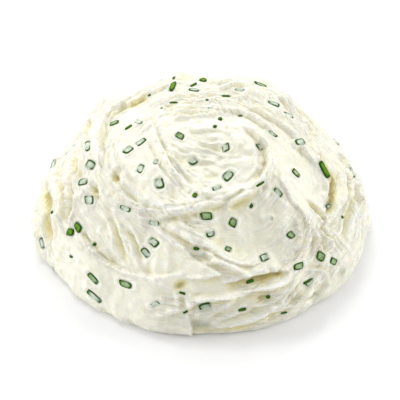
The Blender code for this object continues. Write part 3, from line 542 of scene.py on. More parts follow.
# %% Grooves and thin ridges
GROOVES = (
    # depth, half width, rim, stations; first the troughs and grooves of the left side
    (2.5, 1.8, 0.7, ((45, 186, 0.3), (44.5, 192, 0.8), (46, 198), (47.6, 204),
     (47.6, 210), (46.6, 216), (46.6, 223), (47.6, 230), (49.2, 237, 0.7),
     (50, 241, 0.2))),
    (1.4, 1.1, 0.6, ((76, 157, 0.4), (76.3, 162), (77.3, 168), (78.8, 174, 0.8),
     (80, 178, 0.3))),
    (0.8, 0.8, 0.4, ((72, 168, 0.4), (73, 176), (75, 184), (76.5, 191, 0.6))),
    (0.8, 0.8, 0.4, ((58, 170, 0.4), (59.5, 179), (62, 188), (63.5, 196, 0.8),
     (64.5, 205, 0.8), (65, 216, 0.5))),
    (0.7, 0.6, 0.4, ((69, 187, 0.5), (70.5, 195), (71, 203, 0.5))),
    (1.1, 1.0, 0.3, ((92, 186, 0.4), (93.5, 191), (95.5, 197, 0.8))),
    (-0.9, 0.8, 0, ((82, 196, 0.5), (85, 191.5), (88, 189), (91, 193), (94, 198, 0.8),
     (97, 203, 0.4))),
    (0.9, 1.1, 0.7, ((106, 203, 0.1), (108.5, 210, 0.3), (110.5, 217, 0.5), (112.7, 224, 0.8),
     (115, 231), (117.3, 238), (119.5, 245), (122, 251.5, 0.9), (125.5, 258, 0.7),
     (130, 264, 0.3))),
    (0.8, 0.9, 0.6, ((126, 229, 0.3), (129, 234, 0.9), (132.5, 240), (135.3, 246),
     (137.5, 252, 0.9), (140, 258.5, 0.6), (142, 263, 0.3))),
    (0.6, 1.2, 0.3, ((101, 221, 0.3), (105, 226, 0.8), (109, 231.5, 0.8), (112, 236, 0.3))),
    # the flank between the ridge and the bowl
    (0.4, 1.4, 0.3, ((124, 170, 0.3), (130, 176, 0.8), (137, 182.5), (144, 188),
     (152, 194, 0.8), (160, 199.5, 0.4))),
    (0.2, 1.3, 0.1, ((121, 186, 0.3), (127, 193, 0.8), (134, 199.5), (141, 204.5),
     (149, 207.5, 0.6))),
    (-0.6, 1.4, 0, ((163, 100, 0.3), (161, 110, 0.8), (160, 120), (161, 130), (164, 140, 0.8),
     (168, 150, 0.4))),
    (-0.4, 0.6, 0, ((112, 179, 0.5), (118, 187), (124, 196), (131, 204.5),
     (139, 209.5, 0.9), (148, 211.5, 0.4))),
    (0.4, 0.5, 0.2, ((160, 136, 0.3), (163.5, 144, 0.9), (167, 153), (171, 161),
     (176, 168, 0.8), (183, 175, 0.5), (190, 181, 0.3))),
    # the lobes at the front
    (-0.9, 0.9, 0, ((200, 250.5, 0.5), (206, 252.3), (211, 255.3), (213, 258.5, 0.5))),
    (-1.4, 1.2, 0, ((205, 263, 0.4), (215, 261, 0.9), (224, 262.6), (232, 266.3),
     (240, 270.8), (245.5, 275), (247, 279, 0.5))),
    (-0.7, 1.0, 0, ((247, 273, 0.4), (254, 270), (262, 269.3), (268, 271, 0.6))),
    (-0.6, 0.8, 0, ((226, 208, 0.6), (229, 203.5), (231, 199.5, 0.5))),
    # the ripples of the bowl
    (-0.5, 0.7, 0, ((202, 146.5, 0.4), (208, 146), (215, 148.5), (221, 151.5, 0.5))),
    (-0.5, 0.7, 0, ((186, 152, 0.5), (194, 151.5), (200, 154, 0.8), (206, 157, 0.4))),
    (-0.4, 0.7, 0, ((203, 139.5, 0.4), (210, 140), (218, 140), (224, 141, 0.4))),
    (0.3, 0.5, 0.2, ((175, 145, 0.5), (181, 147.5), (187, 150, 0.5))),
    # the long white crest across the front
    (-0.7, 0.8, 0, ((194, 301, 0.4), (204, 298), (216, 297.5, 0.8), (228, 295.5),
     (240, 291.5), (252, 288.5, 0.8), (264, 286), (276, 283), (286, 278.5, 0.8),
     (292, 274, 0.3))),
    # the arch round a chive at the scoop's right
    (-0.6, 1.1, 0, ((279, 233, 0.4), (282, 227, 0.8), (285.5, 220.5), (291, 217.5),
     (296.5, 221), (299, 228), (300, 236), (299.5, 243, 0.6))),
    (0.4, 1.0, 0.3, ((299, 252, 0.3), (293, 259, 0.9), (286, 264.5), (280, 270, 0.5))),
    # slots, slits and troughs of the right side
    (0.9, 0.7, 0.4, ((310, 202, 0.3), (314, 206.8), (318, 211.6), (321.5, 216.3),
     (325, 219, 0.8), (330, 218.2, 0.4))),
    (1.0, 0.8, 0.4, ((325.5, 218.5, 0.7), (325.5, 222.5), (323.5, 227, 0.6))),
    (2.2, 1.4, 0.6, ((322, 158, 0.3), (327, 168, 0.8), (331, 178), (332, 190),
     (331.5, 200), (328.5, 209, 0.5))),
    (0.8, 0.7, 0.5, ((319.5, 226.5, 0.3), (322.5, 230.5), (326.5, 235), (331.5, 239.5, 0.5),
     (335.5, 246.3, 0.4), (341, 251.3, 0.4), (344.5, 256, 0.1))),
    (-1.0, 1.3, 0, ((334, 156, 0.3), (338, 166, 0.9), (340, 177), (341, 190),
     (340, 201, 0.9), (337, 211, 0.4))),
    (1.0, 0.6, 0.3, ((344, 180, 0.4), (345.3, 185), (346, 190), (345.3, 196, 0.5))),
    (1.6, 1.3, 0.6, ((353, 193, 0.4), (352.3, 200), (351, 207), (348.5, 214),
     (346.5, 222), (345, 230, 0.8), (343.5, 238, 0.3))),
    (-0.8, 0.7, 0, ((301, 251, 0.4), (304, 246), (307.5, 241.5), (310, 238, 0.5))),
    (-0.7, 0.9, 0, ((313, 230, 0.3), (315.5, 238), (318.5, 245), (321, 251, 0.6))),
    (-0.6, 0.8, 0, ((327, 236, 0.4), (330, 241.5), (334, 247.5), (338, 253, 0.5))),
    (-0.7, 0.9, 0, ((334, 233, 0.4), (339, 240.5), (344.5, 246.5), (350, 252, 0.4))),
    (0.4, 0.8, 0.1, ((310, 234, 0.4), (312, 241), (315, 248, 0.7))),
    (0.6, 0.8, 0.2, ((320, 238, 0.4), (323.5, 244.5), (327, 250, 0.5))),
    # fine slits of the upper right
    (0.6, 0.5, 0.3, ((257, 104, 0.5), (262, 107, 0.8), (268, 111), (274, 115.5, 0.8),
     (279, 118.5, 0.3))),
    (0.6, 0.5, 0.3, ((232, 101.5, 0.4), (239, 103.2), (246, 106.5, 0.8), (252, 109.5, 0.4))),
    (0.7, 0.6, 0.3, ((270, 90.5, 0.5), (276, 92.5), (282, 94, 0.4))),
    (1.1, 1.0, 0.3, ((300, 120, 0.5), (305, 123.5), (310, 128.5, 0.7))),
    (0.8, 0.6, 0.3, ((315, 123.5, 0.6), (317, 126.5), (319, 129.5, 0.5))),
    (1.0, 0.7, 0.3, ((321, 130, 0.5), (324, 134), (327.5, 138, 0.6))),
    (0.9, 1.6, 0.3, ((286, 102, 0.5), (292, 106), (297, 111.5), (298, 116, 0.5))),
    # the front foot
    (0.6, 1.1, 0, ((196, 330.5, 0.3), (205, 330.5), (222, 329.5), (240, 327.5),
     (256, 323.5), (270, 319.5, 0.9), (284, 315.5, 0.4))),
    (-0.6, 0.6, 0, ((175.5, 293, 0.5), (177, 298), (177.5, 303, 0.6))),
    (0.5, 0.7, 0.2, ((180, 295, 0.4), (182.5, 301), (184, 306, 0.6))),
    (-0.7, 0.8, 0, ((167, 312.5, 0.5), (172, 310.3), (179, 309.3, 0.8))),
    (-0.7, 0.8, 0, ((221, 307, 0.5), (225, 304), (230, 301.5, 0.7))),
    (0.6, 0.7, 0.2, ((210, 319, 0.4), (216, 317), (222, 314.8, 0.6))),
    (0.7, 0.9, 0.2, ((219, 324, 0.4), (226, 322), (234, 319.5, 0.8), (241, 316, 0.4))),
    (-0.9, 1.1, 0, ((236, 324, 0.4), (244, 320.5), (252, 317.3), (260, 314, 0.8),
     (268, 310, 0.4))),
    (0.6, 0.8, 0.2, ((224, 312.5, 0.4), (234, 310.5), (245, 308), (256, 305, 0.5))),
    (-0.8, 1.0, 0, ((262, 312.5, 0.4), (272, 307), (281, 300), (287, 293),
     (292, 286), (298, 280, 0.6))),
    (0.8, 1.0, 0.2, ((289.5, 305, 0.4), (293, 299), (296, 292.5), (300, 287),
     (306, 283.5, 0.6))),
    (-0.6, 1.0, 0, ((299, 299, 0.4), (303.5, 294), (309, 289.5), (315, 285, 0.7))),
    (0.6, 0.9, 0.2, ((306, 301, 0.3), (312, 297.5, 0.9), (318, 293, 0.8), (323, 288, 0.4))),
    (-0.6, 1.0, 0, ((325, 285, 0.5), (327, 280), (328, 273, 0.8))),
    (1.0, 0.7, 0.2, ((275, 315.3, 0.3), (281, 313.6), (288, 311.3), (294, 309.3, 0.6))),
)
print(len(GROOVES), "grooves and thin ridges")

# %% Dents and knobs
DENTS = (
    # across, down, length, breadth, turn, depth; the bowl itself comes first
    (212, 159, 12.5, 12.0, 0, 2.2),
    (116, 177.5, 1.6, 1.7, 0, 1.7), (179.5, 285.2, 2.4, 1.4, 15, 1.6),
    (104, 116, 1.6, 2.0, 0, 0.7), (137, 135, 1.0, 1.2, 0, 0.4), (147.5, 272, 1.4, 2.0, 0, 0.7),
    (207.5, 260, 1.2, 0.9, 0, 0.6),
    (269.5, 270.5, 1.2, 0.9, 0, 1.0), (278.5, 272.5, 1.0, 1.0, 0, 0.9),
    (332, 223, 1.5, 2.6, 0, 1.0), (198, 295.5, 1.0, 0.8, 0, 0.5),
    (262, 299, 3.4, 1.4, 12, 1.4), (316, 296, 0.8, 0.6, 20, 0.8),
    # ripples of the bowl's floor
    (205.5, 141.5, 1.6, 0.8, 5, 0.7), (214.5, 137, 1.8, 0.9, 5, 0.5), (216, 144.5, 2.6, 1.2, 0, 0.8),
    (203.5, 153, 1.0, 0.7, 0, 0.4), (234, 155.5, 2.4, 1.1, 10, 0.6), (205, 160, 3.0, 0.8, 0, 0.4),
    (231, 165, 2.0, 1.1, 10, 0.5), (191, 143, 0.8, 0.6, 0, 0.3), (190, 156, 3.0, 1.5, -10, 0.8),
    (214, 174, 3.4, 1.0, 5, 0.5), (227, 127, 0.9, 1.1, 0, 0.8), (225, 111.5, 0.9, 0.8, 0, 0.7),
    # knobs; the first two stand up on the outline
    (180, 77, 3.5, 2.2, 0, -1.6), (100, 103, 1.6, 2.4, 0, -1.0), (262, 83, 2.4, 1.6, 0, -0.8),
    (190, 303, 1.2, 1.4, 0, -0.9), (197.5, 313.5, 1.2, 1.3, 0, -0.9), (200, 298.5, 1.6, 0.9, 0, -0.4),
    (228.5, 295, 1.2, 0.9, 0, -0.5), (285, 205.5, 1.5, 1.5, 0, -0.7), (283.5, 213, 1.3, 1.1, 0, -0.5),
    (313.5, 278, 0.9, 1.2, 0, -0.5), (281, 301, 1.6, 1.0, 0, -0.4), (214, 134, 1.3, 1.5, 0, -0.5),
    (261, 215, 1.3, 1.3, 0, -0.4), (209, 253.5, 0.9, 1.1, 0, -0.9), (214, 259.5, 1.0, 0.9, 0, -0.5),
    (178.5, 302.5, 1.6, 0.9, 0, -0.6), (172, 311, 1.5, 0.9, -10, -0.6),
)
print(len(DENTS), "dents and knobs")

# %% Plates, and where the skin is torn
PLATES = (
    (10.0, 2.1, ((208, 226, 0.4), (222, 224), (240, 227), (258, 231), (276, 232, 0.6))),
    (8.2, 0.8, ((266, 130, 0.4), (279, 144), (292, 161), (303, 178), (314, 195),
     (321, 206, 0.5))),
    (5.0, 0.6, ((118, 126, 0.4), (127, 145), (138, 164), (150, 180), (165, 194, 0.5))),
    (6.0, 0.8, ((142, 238, 0.4), (151, 250), (165, 262), (180, 271, 0.8), (194, 277, 0.4))),
    (8.0, 0.2, ((55, 252, 0.5), (75, 268), (100, 285), (130, 300), (156, 310, 0.5))),
    (5.0, 0.4, ((118, 128, 0.4), (130, 118), (146, 107, 0.6))),
    (3.4, 0.0, ((112, 108, 0.5), (105, 116, 0.8), (100, 128), (97, 142, 0.8), (97, 155, 0.4))),
    (3.4, 0.1, ((188, 288, 0.5), (205, 289), (225, 289), (240, 287, 0.5))),
    (3.4, 0.2, ((232, 190, 0.4), (243, 184, 0.8), (251, 174, 0.8), (252, 160, 0.6),
     (247, 146, 0.3))),
)
# half width and stations
TORN = (
    (1.0, ((112, 179, 0.6), (118, 187), (124, 196), (131, 204.5), (139, 209.5, 0.9),
     (150, 212, 0.4))),
    (1.1, ((180, 221, 0.5), (190, 226.5), (203, 234), (210, 238, 0.4))),
    (1.3, ((80, 241, 0.5), (88, 247), (96, 253), (105, 261, 0.9), (118, 269, 0.4))),
    (1.6, ((282, 232, 0.4), (286, 219, 0.8), (293, 214), (298, 222), (300, 236),
     (298, 248), (290, 257), (281, 267, 0.5))),
    (1.3, ((222, 110, 0.6), (226, 113.5), (230, 117, 0.8))),
    (1.3, ((331, 252, 0.6), (334, 257), (336, 263, 0.6))),
    (1.6, ((199, 176, 0.4), (206, 183), (214, 190, 0.8), (222, 194, 0.3))),
    (1.2, ((266, 158, 0.5), (265, 166), (261, 174, 0.5))),
    (1.1, ((331, 183, 0.5), (331.5, 192), (331.5, 200, 0.5))),
    (1.2, ((102, 132, 0.5), (103, 142, 0.9), (108, 152, 0.5))),
)
print(len(PLATES), "plates,", len(TORN), "torn edges")

# %% [markdown]
# ## The height of the skin
#
# Now the marks are laid on the map in the order in which a hand would make them: first the combed
# texture, the lesser folds and the bundles, then the plates that wipe them away, and at last dents,
# grooves and the sharp folds on top. The back can't be seen in the picture, so a rule lays the lesser
# folds there, from seeded draws. A torn place adds no mark of its own: the crumbs stand higher there.

# %% Folds by rule for the back
FREE_FOLDS = 34
GOLDEN_ANGLE = 137.508


def free_folds():
    """Lesser folds by rule: arcs about the eye, over the outer skin that the picture hides."""
    draw = np.random.default_rng(SEED)
    for i in range(FREE_FOLDS):
        middle = i * GOLDEN_ANGLE + draw.uniform(-12, 12)
        facing = math.sin(math.radians(middle))
        most = 62 + 26 * facing
        distance = 36 + (most - 36) * ((i + 0.5) / FREE_FOLDS) ** 0.8
        span = math.degrees(draw.uniform(12, 24) / distance)
        drift = draw.uniform(-4.0, 4.0)
        knots = []
        for t in (-1.0, -0.6, -0.2, 0.2, 0.6, 1.0):
            turn, far = math.radians(middle + span * t), distance + drift * t
            knots.append((EYE[0] + far * math.cos(turn), EYE[1] + far * math.sin(turn),
                          1.0 - abs(t) ** 3))
        away = max(0.0, facing + 0.15)
        yield (draw.choice((-1, 1)), away * draw.uniform(0.8, 1.6), draw.uniform(1.4, 2.6),
               away * draw.uniform(0.6, 1.3), draw.uniform(1.2, 2.2), knots)


# %% The combed texture
COMB_HEIGHT, FINE_COMB_HEIGHT, RIPPLE_HEIGHT = 1.10, 0.60, 0.38
CURD_HEIGHT, CRUMB_HEIGHT = 0.28, 0.10


def waver(a, b):
    """How far the strands stray from true circles about the eye."""
    return (3.0 * noise(a / 21 + 20, b / 21 + 20, 3) + 1.1 * noise(a / 8 + 90, b / 8 + 90, 4)
            + 0.35 * noise(a / 3 + 10, b / 3 + 70, 12))


def combed(a, b):
    """Strands round the eye, in patches, and the ripples across the floor of its bowl."""
    x, y = a - EYE[0], b - EYE[1]
    distance = np.hypot(x, y)
    turns = np.arctan2(y, x) / (2 * math.pi) % 1.0
    away = distance + waver(a, b)
    patch = 0.30 + 1.0 * smooth_step(-0.6, 0.6, noise(a / 10 + 130, b / 10 + 130, 5))
    other = 0.15 + 1.3 * smooth_step(-0.5, 0.6, noise(a / 7 + 170, b / 7 + 170, 7))
    height = COMB_HEIGHT * patch * (strands(away * 0.38, turns * 12, 20, 12) - 0.45)
    height += FINE_COMB_HEIGHT * other * (strands(away * 0.95, turns * 34, 30, 34) - 0.45)
    height *= smooth_step(8, 20, distance)
    slant = y + 0.18 * x + 1.8 * noise(a / 7 + 150, b / 7 + 150, 6)
    ripple = strands(slant * 0.42, x * 0.12 + 30, 40) - 0.45
    ripple += 0.6 * (strands(slant * 0.95 + 9, x * 0.24 + 30, 44) - 0.45)
    return height + RIPPLE_HEIGHT * ripple * (1 - smooth_step(10, 17, distance))


# %% All the marks together


def relief(a, b):
    """How far the skin stands out at points of the map, and how smooth and how torn it is."""
    marks, smooth, torn = combed(a, b), np.zeros_like(a), np.zeros_like(a)
    for k, row in enumerate(free_folds()):
        fold(marks, a, b, smooth_line(row[5]), 300 + 20 * k, *row[:5])
    for k, row in enumerate(BUNDLES):
        bundle(marks, a, b, 2000 + 150 * k, *row)
    for k, (half_width, depth, stations) in enumerate(PLATES):
        plate(marks, smooth, a, b, line_through(stations), 100 + 10 * k, half_width, depth)
    for row in DENTS:
        dent(marks, a, b, *row)
    for k, row in enumerate(GROOVES):
        groove(marks, a, b, line_through(row[3]), 150 + 10 * k, *row[:3])
    for k, (falls, crest, back, crease, recover, stations) in enumerate(FOLDS):
        fold(marks, a, b, line_through(stations), 1300 + 20 * k, falls, CREST_GAIN * crest, back,
             CREASE_GAIN * crease, recover)
    for half_width, stations in TORN:
        pick, across, _, power = beside(line_through(stations), a, b, 2.5 * half_width)
        torn[pick] = np.maximum(torn[pick], power * np.exp(-((across / half_width) ** 2)))
    curd = noise(a / 2.1 + 200, b / 2.1 + 200, 8) * (1 - 0.1 * smooth)
    crumb = noise(a / 0.95 + 10, b / 0.95 + 10, 9) * (0.5 + 3.0 * torn)
    return plain_height(a, b) + marks + CURD_HEIGHT * curd + CRUMB_HEIGHT * crumb, smooth, torn


# %% [markdown]
# ## The cream's skin
#
# We need a dome of small, even faces. A ball of meridians would crowd them at the crown, so we start
# from a cube, cut its faces into cells, and slice its lower half away. The slice is filled at once:
# that face becomes the flat foot. Then each corner of the grid is sent to its place on the mound.

# %% A cube cut into cells and sliced
CELLS = 180


def clear_selection():
    bpy.ops.object.select_all(action="DESELECT")


clear_selection()
bpy.ops.mesh.primitive_cube_add(size=2.0, location=(0, 0, 0))
skin = bpy.context.object
skin.name = skin.data.name = "cream_skin"
bpy.ops.object.mode_set(mode="EDIT")
bpy.ops.mesh.select_all(action="SELECT")
bpy.ops.mesh.subdivide(number_cuts=CELLS // 2 - 1)
bpy.ops.mesh.subdivide(number_cuts=1)
bpy.ops.mesh.select_all(action="SELECT")
bpy.ops.mesh.bisect(plane_co=(0, 0, 0), plane_no=(0, 0, 1), use_fill=True, clear_inner=True,
                    threshold=1e-5)
bpy.ops.object.mode_set(mode="OBJECT")
print("skin:", len(skin.data.vertices), "corners,", len(skin.data.polygons), "faces")

# %% Send each corner to its place


def read_points(mesh):
    flat = np.empty(3 * len(mesh.vertices))
    mesh.vertices.foreach_get("co", flat)
    return flat.reshape(-1, 3)


def write_points(mesh, points):
    mesh.vertices.foreach_set("co", points.ravel())
    mesh.update()


ways = np.tan(read_points(skin.data) * math.pi / 4)
ways /= np.linalg.norm(ways, axis=1)[:, None]
down = np.arccos(np.clip(ways[:, 2], -1, 1))
turn = np.arctan2(ways[:, 1], ways[:, 0])
from_crown = np.minimum(SKIN_LENGTH * down / (math.pi / 2), SKIN_LENGTH)
map_a, map_b = from_crown * np.cos(turn), from_crown * np.sin(turn)
height, smooth, torn = relief(map_a, map_b)
places = stand(map_a, map_b, height) + SHIFT
places[ways[:, 2] < 1e-6, 2] = 0.0
write_points(skin.data, places * MM)
clear_selection()
skin.select_set(True)
bpy.ops.object.shade_smooth()
print("skin from", places.min(axis=0).round(1), "to", places.max(axis=0).round(1), "mm")

# %% [markdown]
# ## Finding a spot of the picture on the skin
#
# A line of sight leaves the camera through a spot of the picture and meets the skin. There we also
# want the lie of the skin: the average direction in which the corners round about face. With both,
# a chive can be laid flat on the mound wherever the picture shows one, and it sits right from every
# other side too.

# %% Lines of sight
normals = np.empty(3 * len(skin.data.vertices))
skin.data.vertices.foreach_get("normal", normals)
normals = normals.reshape(-1, 3)
bpy.context.view_layer.update()


def sight(x, y):
    """The direction of the line of sight through a spot of the picture."""
    ray = Vector(((x - PICTURE / 2) / PER_UNIT, (PICTURE_MIDDLE - y) / PER_UNIT, -1.0))
    return (camera.rotation_euler.to_matrix() @ ray).normalized()


def spot(x, y):
    """Where that line meets the skin, or the nearest place toward the picture's middle."""
    for share in np.linspace(0, 0.3, 61):
        aim = sight(x + (PICTURE / 2 - x) * share, y + (PICTURE / 2 - y) * share)
        met, where, _, _ = skin.ray_cast(camera.location, aim)
        if met:
            return where
    raise ValueError(f"nothing of the mound is near {x}, {y}")


def lie_of_skin(where, points, reach=1.8):
    """The middle and direction of the skin round a place, in millimetres."""
    apart = np.linalg.norm(points - where, axis=1)
    near = apart < reach
    up = normals[near].sum(axis=0)
    return points[near].mean(axis=0), up / np.linalg.norm(up)


print("the picture's middle meets the skin at", tuple(spot(200, 200)))

# %% [markdown]
# ## One chive, modelled once
#
# A chopped chive is a short piece of a thin green tube, pressed flat and cut aslant. In the cheese
# it lies on its side: we see a rounded oblong with a dark green edge, and a thin film of cheese over
# its middle. We add a short cylinder and inset its top four times: each inset gives a ring of faces
# that the film can follow, and a small move up and down again leaves the middle a little lower than
# the ring round it. All the chives are copies of it, and each copy has its own mesh.

# %% The blank
ROUND_STEPS = 20

clear_selection()
bpy.ops.mesh.primitive_cylinder_add(vertices=ROUND_STEPS, radius=1.0, depth=2.0,
                                    end_fill_type="NGON", location=(0, 0, 0))
blank = bpy.context.object
blank.name = blank.data.name = "chive_blank"
bpy.ops.object.mode_set(mode="EDIT")
bpy.ops.mesh.select_all(action="DESELECT")
bpy.ops.object.mode_set(mode="OBJECT")
for face in blank.data.polygons:
    face.select = face.normal.z > 0.9
bpy.ops.object.mode_set(mode="EDIT")
for thickness, rise in ((0.07, 0.07), (0.11, 0.06), (0.20, -0.06), (0.28, -0.08)):
    bpy.ops.mesh.inset(thickness=thickness, depth=0)
    bpy.ops.transform.translate(value=(0, 0, rise))
bpy.ops.object.mode_set(mode="OBJECT")
blank_points = read_points(blank.data)
blank_faces = [tuple(face.vertices) for face in blank.data.polygons]
bpy.data.objects.remove(blank, do_unlink=True)
print("the blank has", len(blank_points), "corners and", len(blank_faces), "faces")

# %% [markdown]
# ## The chives of the picture
#
# Each row gives the two ends of a chive as spots of the picture, its width in millimetres and how
# much of it shows. The side that shows most lies to the left of the way from the first end to the
# second. Some chives are only a grey-green shadow under the surface: those get no piece at all, but
# tint the cream later.

# %% Rows of chives
CHIVES = (
    # the left side
    (51.3, 171.5, 53.5, 158.5, 2.4, "filmed"), (74.7, 145.3, 65.3, 155.8, 1.8, "faint"),
    (86.4, 139.1, 86.7, 150.0, 2.4, "ends"), (87.0, 162.4, 95.0, 167.4, 3.3, "filmed"),
    (78.6, 182.6, 87.4, 181.4, 3.0, "filmed"), (84.4, 199.8, 93.0, 199.4, 3.4, "ends"),
    (50.0, 213.3, 52.2, 210.6, 1.2, "dark"), (67.4, 231.4, 74.2, 232.8, 2.6, "green"),
    (75.6, 223.8, 81.3, 231.4, 2.3, "green"), (43.6, 248.7, 40.8, 237.2, 2.2, "filmed"),
    (69.4, 255.8, 72.8, 257.1, 0.9, "dark"), (52.0, 267.8, 53.6, 271.1, 0.8, "faint"),
    (93.3, 247.2, 95.6, 244.4, 1.3, "dark"),
    (88.7, 273.1, 97.8, 283.0, 2.0, "outlined"), (132.4, 286.3, 118.7, 281.7, 2.3, "outlined"),
    (87.4, 290.4, 101.1, 301.9, 2.2, "filmed"), (151.1, 306.7, 158.9, 302.2, 1.6, "faint"),
    # the upper left, between the sheets and the bowl
    (110.0, 124.6, 118.9, 121.5, 2.3, "outlined"), (125.0, 129.4, 131.7, 125.3, 1.4, "dark"),
    (135.0, 120.0, 141.4, 122.5, 2.0, "faint"), (136.7, 145.8, 146.0, 138.5, 2.4, "filmed"),
    (123.7, 153.3, 132.4, 146.5, 2.6, "filmed"), (154.4, 163.9, 156.9, 158.9, 1.8, "faint"),
    (138.7, 172.8, 142.8, 165.0, 2.2, "ends"), (157.8, 177.4, 160.9, 188.7, 3.2, "filmed"),
    (173.3, 79.2, 174.6, 76.5, 1.2, "dark"), (170.9, 91.0, 174.4, 82.4, 1.9, "green"),
    (190.6, 86.7, 196.9, 83.3, 1.2, "dark"), (188.7, 89.4, 198.9, 90.6, 2.1, "filmed"),
    (169.4, 102.0, 177.2, 102.0, 1.0, "dark"), (147.6, 96.1, 150.6, 94.7, 1.0, "dark"),
    (161.1, 108.0, 162.4, 108.7, 0.8, "dark"),
    # the bowl and the ridge round it
    (176.1, 134.2, 184.0, 138.0, 2.7, "outlined"), (196.9, 159.3, 189.0, 163.9, 2.6, "half"),
    (222.0, 149.6, 229.6, 145.9, 2.7, "filmed"), (223.7, 180.4, 232.4, 171.5, 2.9, "filmed"),
    (256.7, 186.7, 265.0, 181.7, 0.9, "dark"), (212.2, 189.4, 221.1, 186.7, 1.6, "faint"),
    (193.1, 195.2, 197.1, 196.2, 1.6, "green"), (264.4, 149.1, 260.0, 142.6, 2.2, "half"),
    (274.2, 188.1, 282.4, 196.9, 2.2, "half"), (218.5, 118.9, 221.9, 119.8, 1.4, "green"),
    (213.1, 126.7, 216.4, 127.3, 1.4, "dark"), (249.8, 207.8, 252.8, 204.4, 1.1, "dark"),
    # the upper right
    (200.4, 81.8, 206.0, 79.9, 2.5, "green"), (266.9, 87.0, 254.5, 82.8, 2.5, "outlined"),
    (235.6, 88.7, 244.4, 90.0, 2.2, "faint"), (222.0, 95.6, 230.0, 95.8, 1.1, "dark"),
    (206.4, 99.6, 208.3, 98.3, 0.9, "dark"), (207.8, 108.3, 212.8, 107.2, 1.0, "faint"),
    (238.3, 116.4, 242.8, 116.1, 0.9, "dark"), (268.5, 100.7, 279.6, 105.2, 2.7, "filmed"),
    (284.2, 112.7, 293.8, 116.5, 2.3, "filmed"), (268.9, 130.6, 276.6, 136.6, 1.5, "half"),
    (295.0, 142.8, 304.1, 141.5, 2.9, "filmed"), (299.6, 176.9, 292.0, 169.2, 2.5, "outlined"),
    (319.8, 161.3, 329.1, 178.4, 2.3, "green"), (333.3, 138.9, 339.4, 144.4, 1.6, "faint"),
    (350.6, 165.6, 355.0, 176.7, 1.6, "faint"), (342.4, 216.1, 344.4, 218.3, 1.1, "dark"),
    (327.2, 208.3, 331.1, 205.0, 1.6, "half"),
    # the front: the scoop and what lies below it
    (120.4, 206.6, 131.3, 210.6, 1.7, "ends"), (148.9, 222.0, 160.0, 223.6, 1.6, "faint"),
    (150.0, 239.2, 158.0, 245.8, 2.7, "filmed"), (142.0, 248.7, 148.5, 257.0, 2.6, "filmed"),
    (199.6, 216.9, 212.4, 216.3, 2.7, "outlined"), (231.5, 226.8, 234.1, 218.4, 2.7, "outlined"),
    (214.9, 232.2, 206.0, 234.6, 2.5, "half"), (288.1, 232.4, 293.0, 237.6, 2.9, "outlined"),
    (224.5, 248.1, 230.8, 250.7, 1.9, "outlined"), (260.0, 259.6, 268.5, 256.0, 2.5, "filmed"),
    (293.4, 268.0, 303.0, 264.5, 2.5, "outlined"), (315.9, 253.5, 324.1, 259.1, 3.1, "outlined"),
    (329.2, 259.2, 335.5, 262.4, 2.3, "outlined"), (193.7, 247.8, 199.6, 248.3, 1.2, "dark"),
    (193.3, 253.3, 202.2, 255.6, 2.2, "sunk"), (303.1, 283.9, 311.9, 278.5, 1.1, "dark"),
    (305.5, 286.0, 313.0, 281.5, 1.6, "faint"), (246.1, 282.2, 253.9, 280.2, 1.3, "dark"),
    (266.5, 298.8, 270.4, 296.8, 1.2, "dark"), (199.2, 308.0, 211.3, 304.8, 2.8, "half"),
    (238.1, 309.9, 245.8, 308.6, 1.3, "dark"), (281.1, 313.9, 287.8, 312.2, 0.9, "dark"),
    (179.4, 292.2, 185.6, 293.9, 0.9, "dark"), (183.3, 312.2, 187.8, 310.0, 0.9, "dark"),
    (194.4, 326.7, 204.4, 325.6, 2.6, "sunk"), (270.6, 219.1, 272.8, 218.7, 0.9, "faint"),
    (341.0, 271.7, 343.4, 270.3, 1.6, "sunk"), (313.3, 297.6, 317.8, 295.6, 1.8, "sunk"),
)

# what shows of each kind: share under the film, how proud it lies, how far one side leans down
SHOWS = {
    "filmed": (1.0, 0.20, 0.0), "outlined": (0.46, 0.24, 0.0), "green": (0.0, 0.50, 0.0),
    "dark": (0.0, 0.12, 12.0), "half": (0.85, 0.10, 20.0), "ends": (1.5, 0.10, 0.0),
    "faint": (1.9, 0.06, 0.0), "sunk": (3.0, 0.0, 0.0),
}
print(len(CHIVES), "chives are placed by the picture")

# %% [markdown]
# ## Laying the chives
#
# For each chive we find its middle on the skin and the lie of the skin there, and send the lines of
# sight of its two ends to that plane: so its length comes right however it is foreshortened. Where
# the skin turns away from the camera, the chive is tipped a little toward it, as the picture shows.
# The back gets chives by a rule, wherever the camera can't see, each well apart from the others.

# %% Places and axes of the chives
LONGEST = 7.2
CHIVE_GAP = 10.0
TRUE_LENGTH, TRUE_WIDTH = 0.95, 0.84
LEAST_FACING, TURNED_AWAY = 0.5, 0.4
BACK_TRIES, LOWEST_CHIVE = 6000, 6
skin_mm = read_points(skin.data) / MM


def lay(x1, y1, x2, y2, width, kind):
    """Middle, length's direction, side, up, length, width and kind of a chive, in millimetres."""
    middle, up = lie_of_skin(np.array(spot((x1 + x2) / 2, (y1 + y2) / 2)) / MM, skin_mm)
    toward = (CAMERA_MM - middle) / np.linalg.norm(CAMERA_MM - middle)
    up = up + toward * max(0.0, LEAST_FACING - up @ toward) * 1.2
    up /= np.linalg.norm(up)
    ends = []
    for x, y in ((x1, y1), (x2, y2)):
        aim = np.array(sight(x, y))
        ends.append(CAMERA_MM + aim * (((middle - CAMERA_MM) @ up) / (aim @ up)))
    along = ends[1] - ends[0]
    along -= up * (along @ up)
    length = TRUE_LENGTH * min(np.linalg.norm(along), LONGEST)
    along /= np.linalg.norm(along)
    return middle, along, np.cross(up, along), up, length, TRUE_WIDTH * width, kind


def hidden_from_camera(where):
    """Whether a place is so far round the back that it points away from the camera."""
    away = where * MM - np.array(camera.location)
    return where @ away > TURNED_AWAY * np.linalg.norm(away) * np.linalg.norm(where)


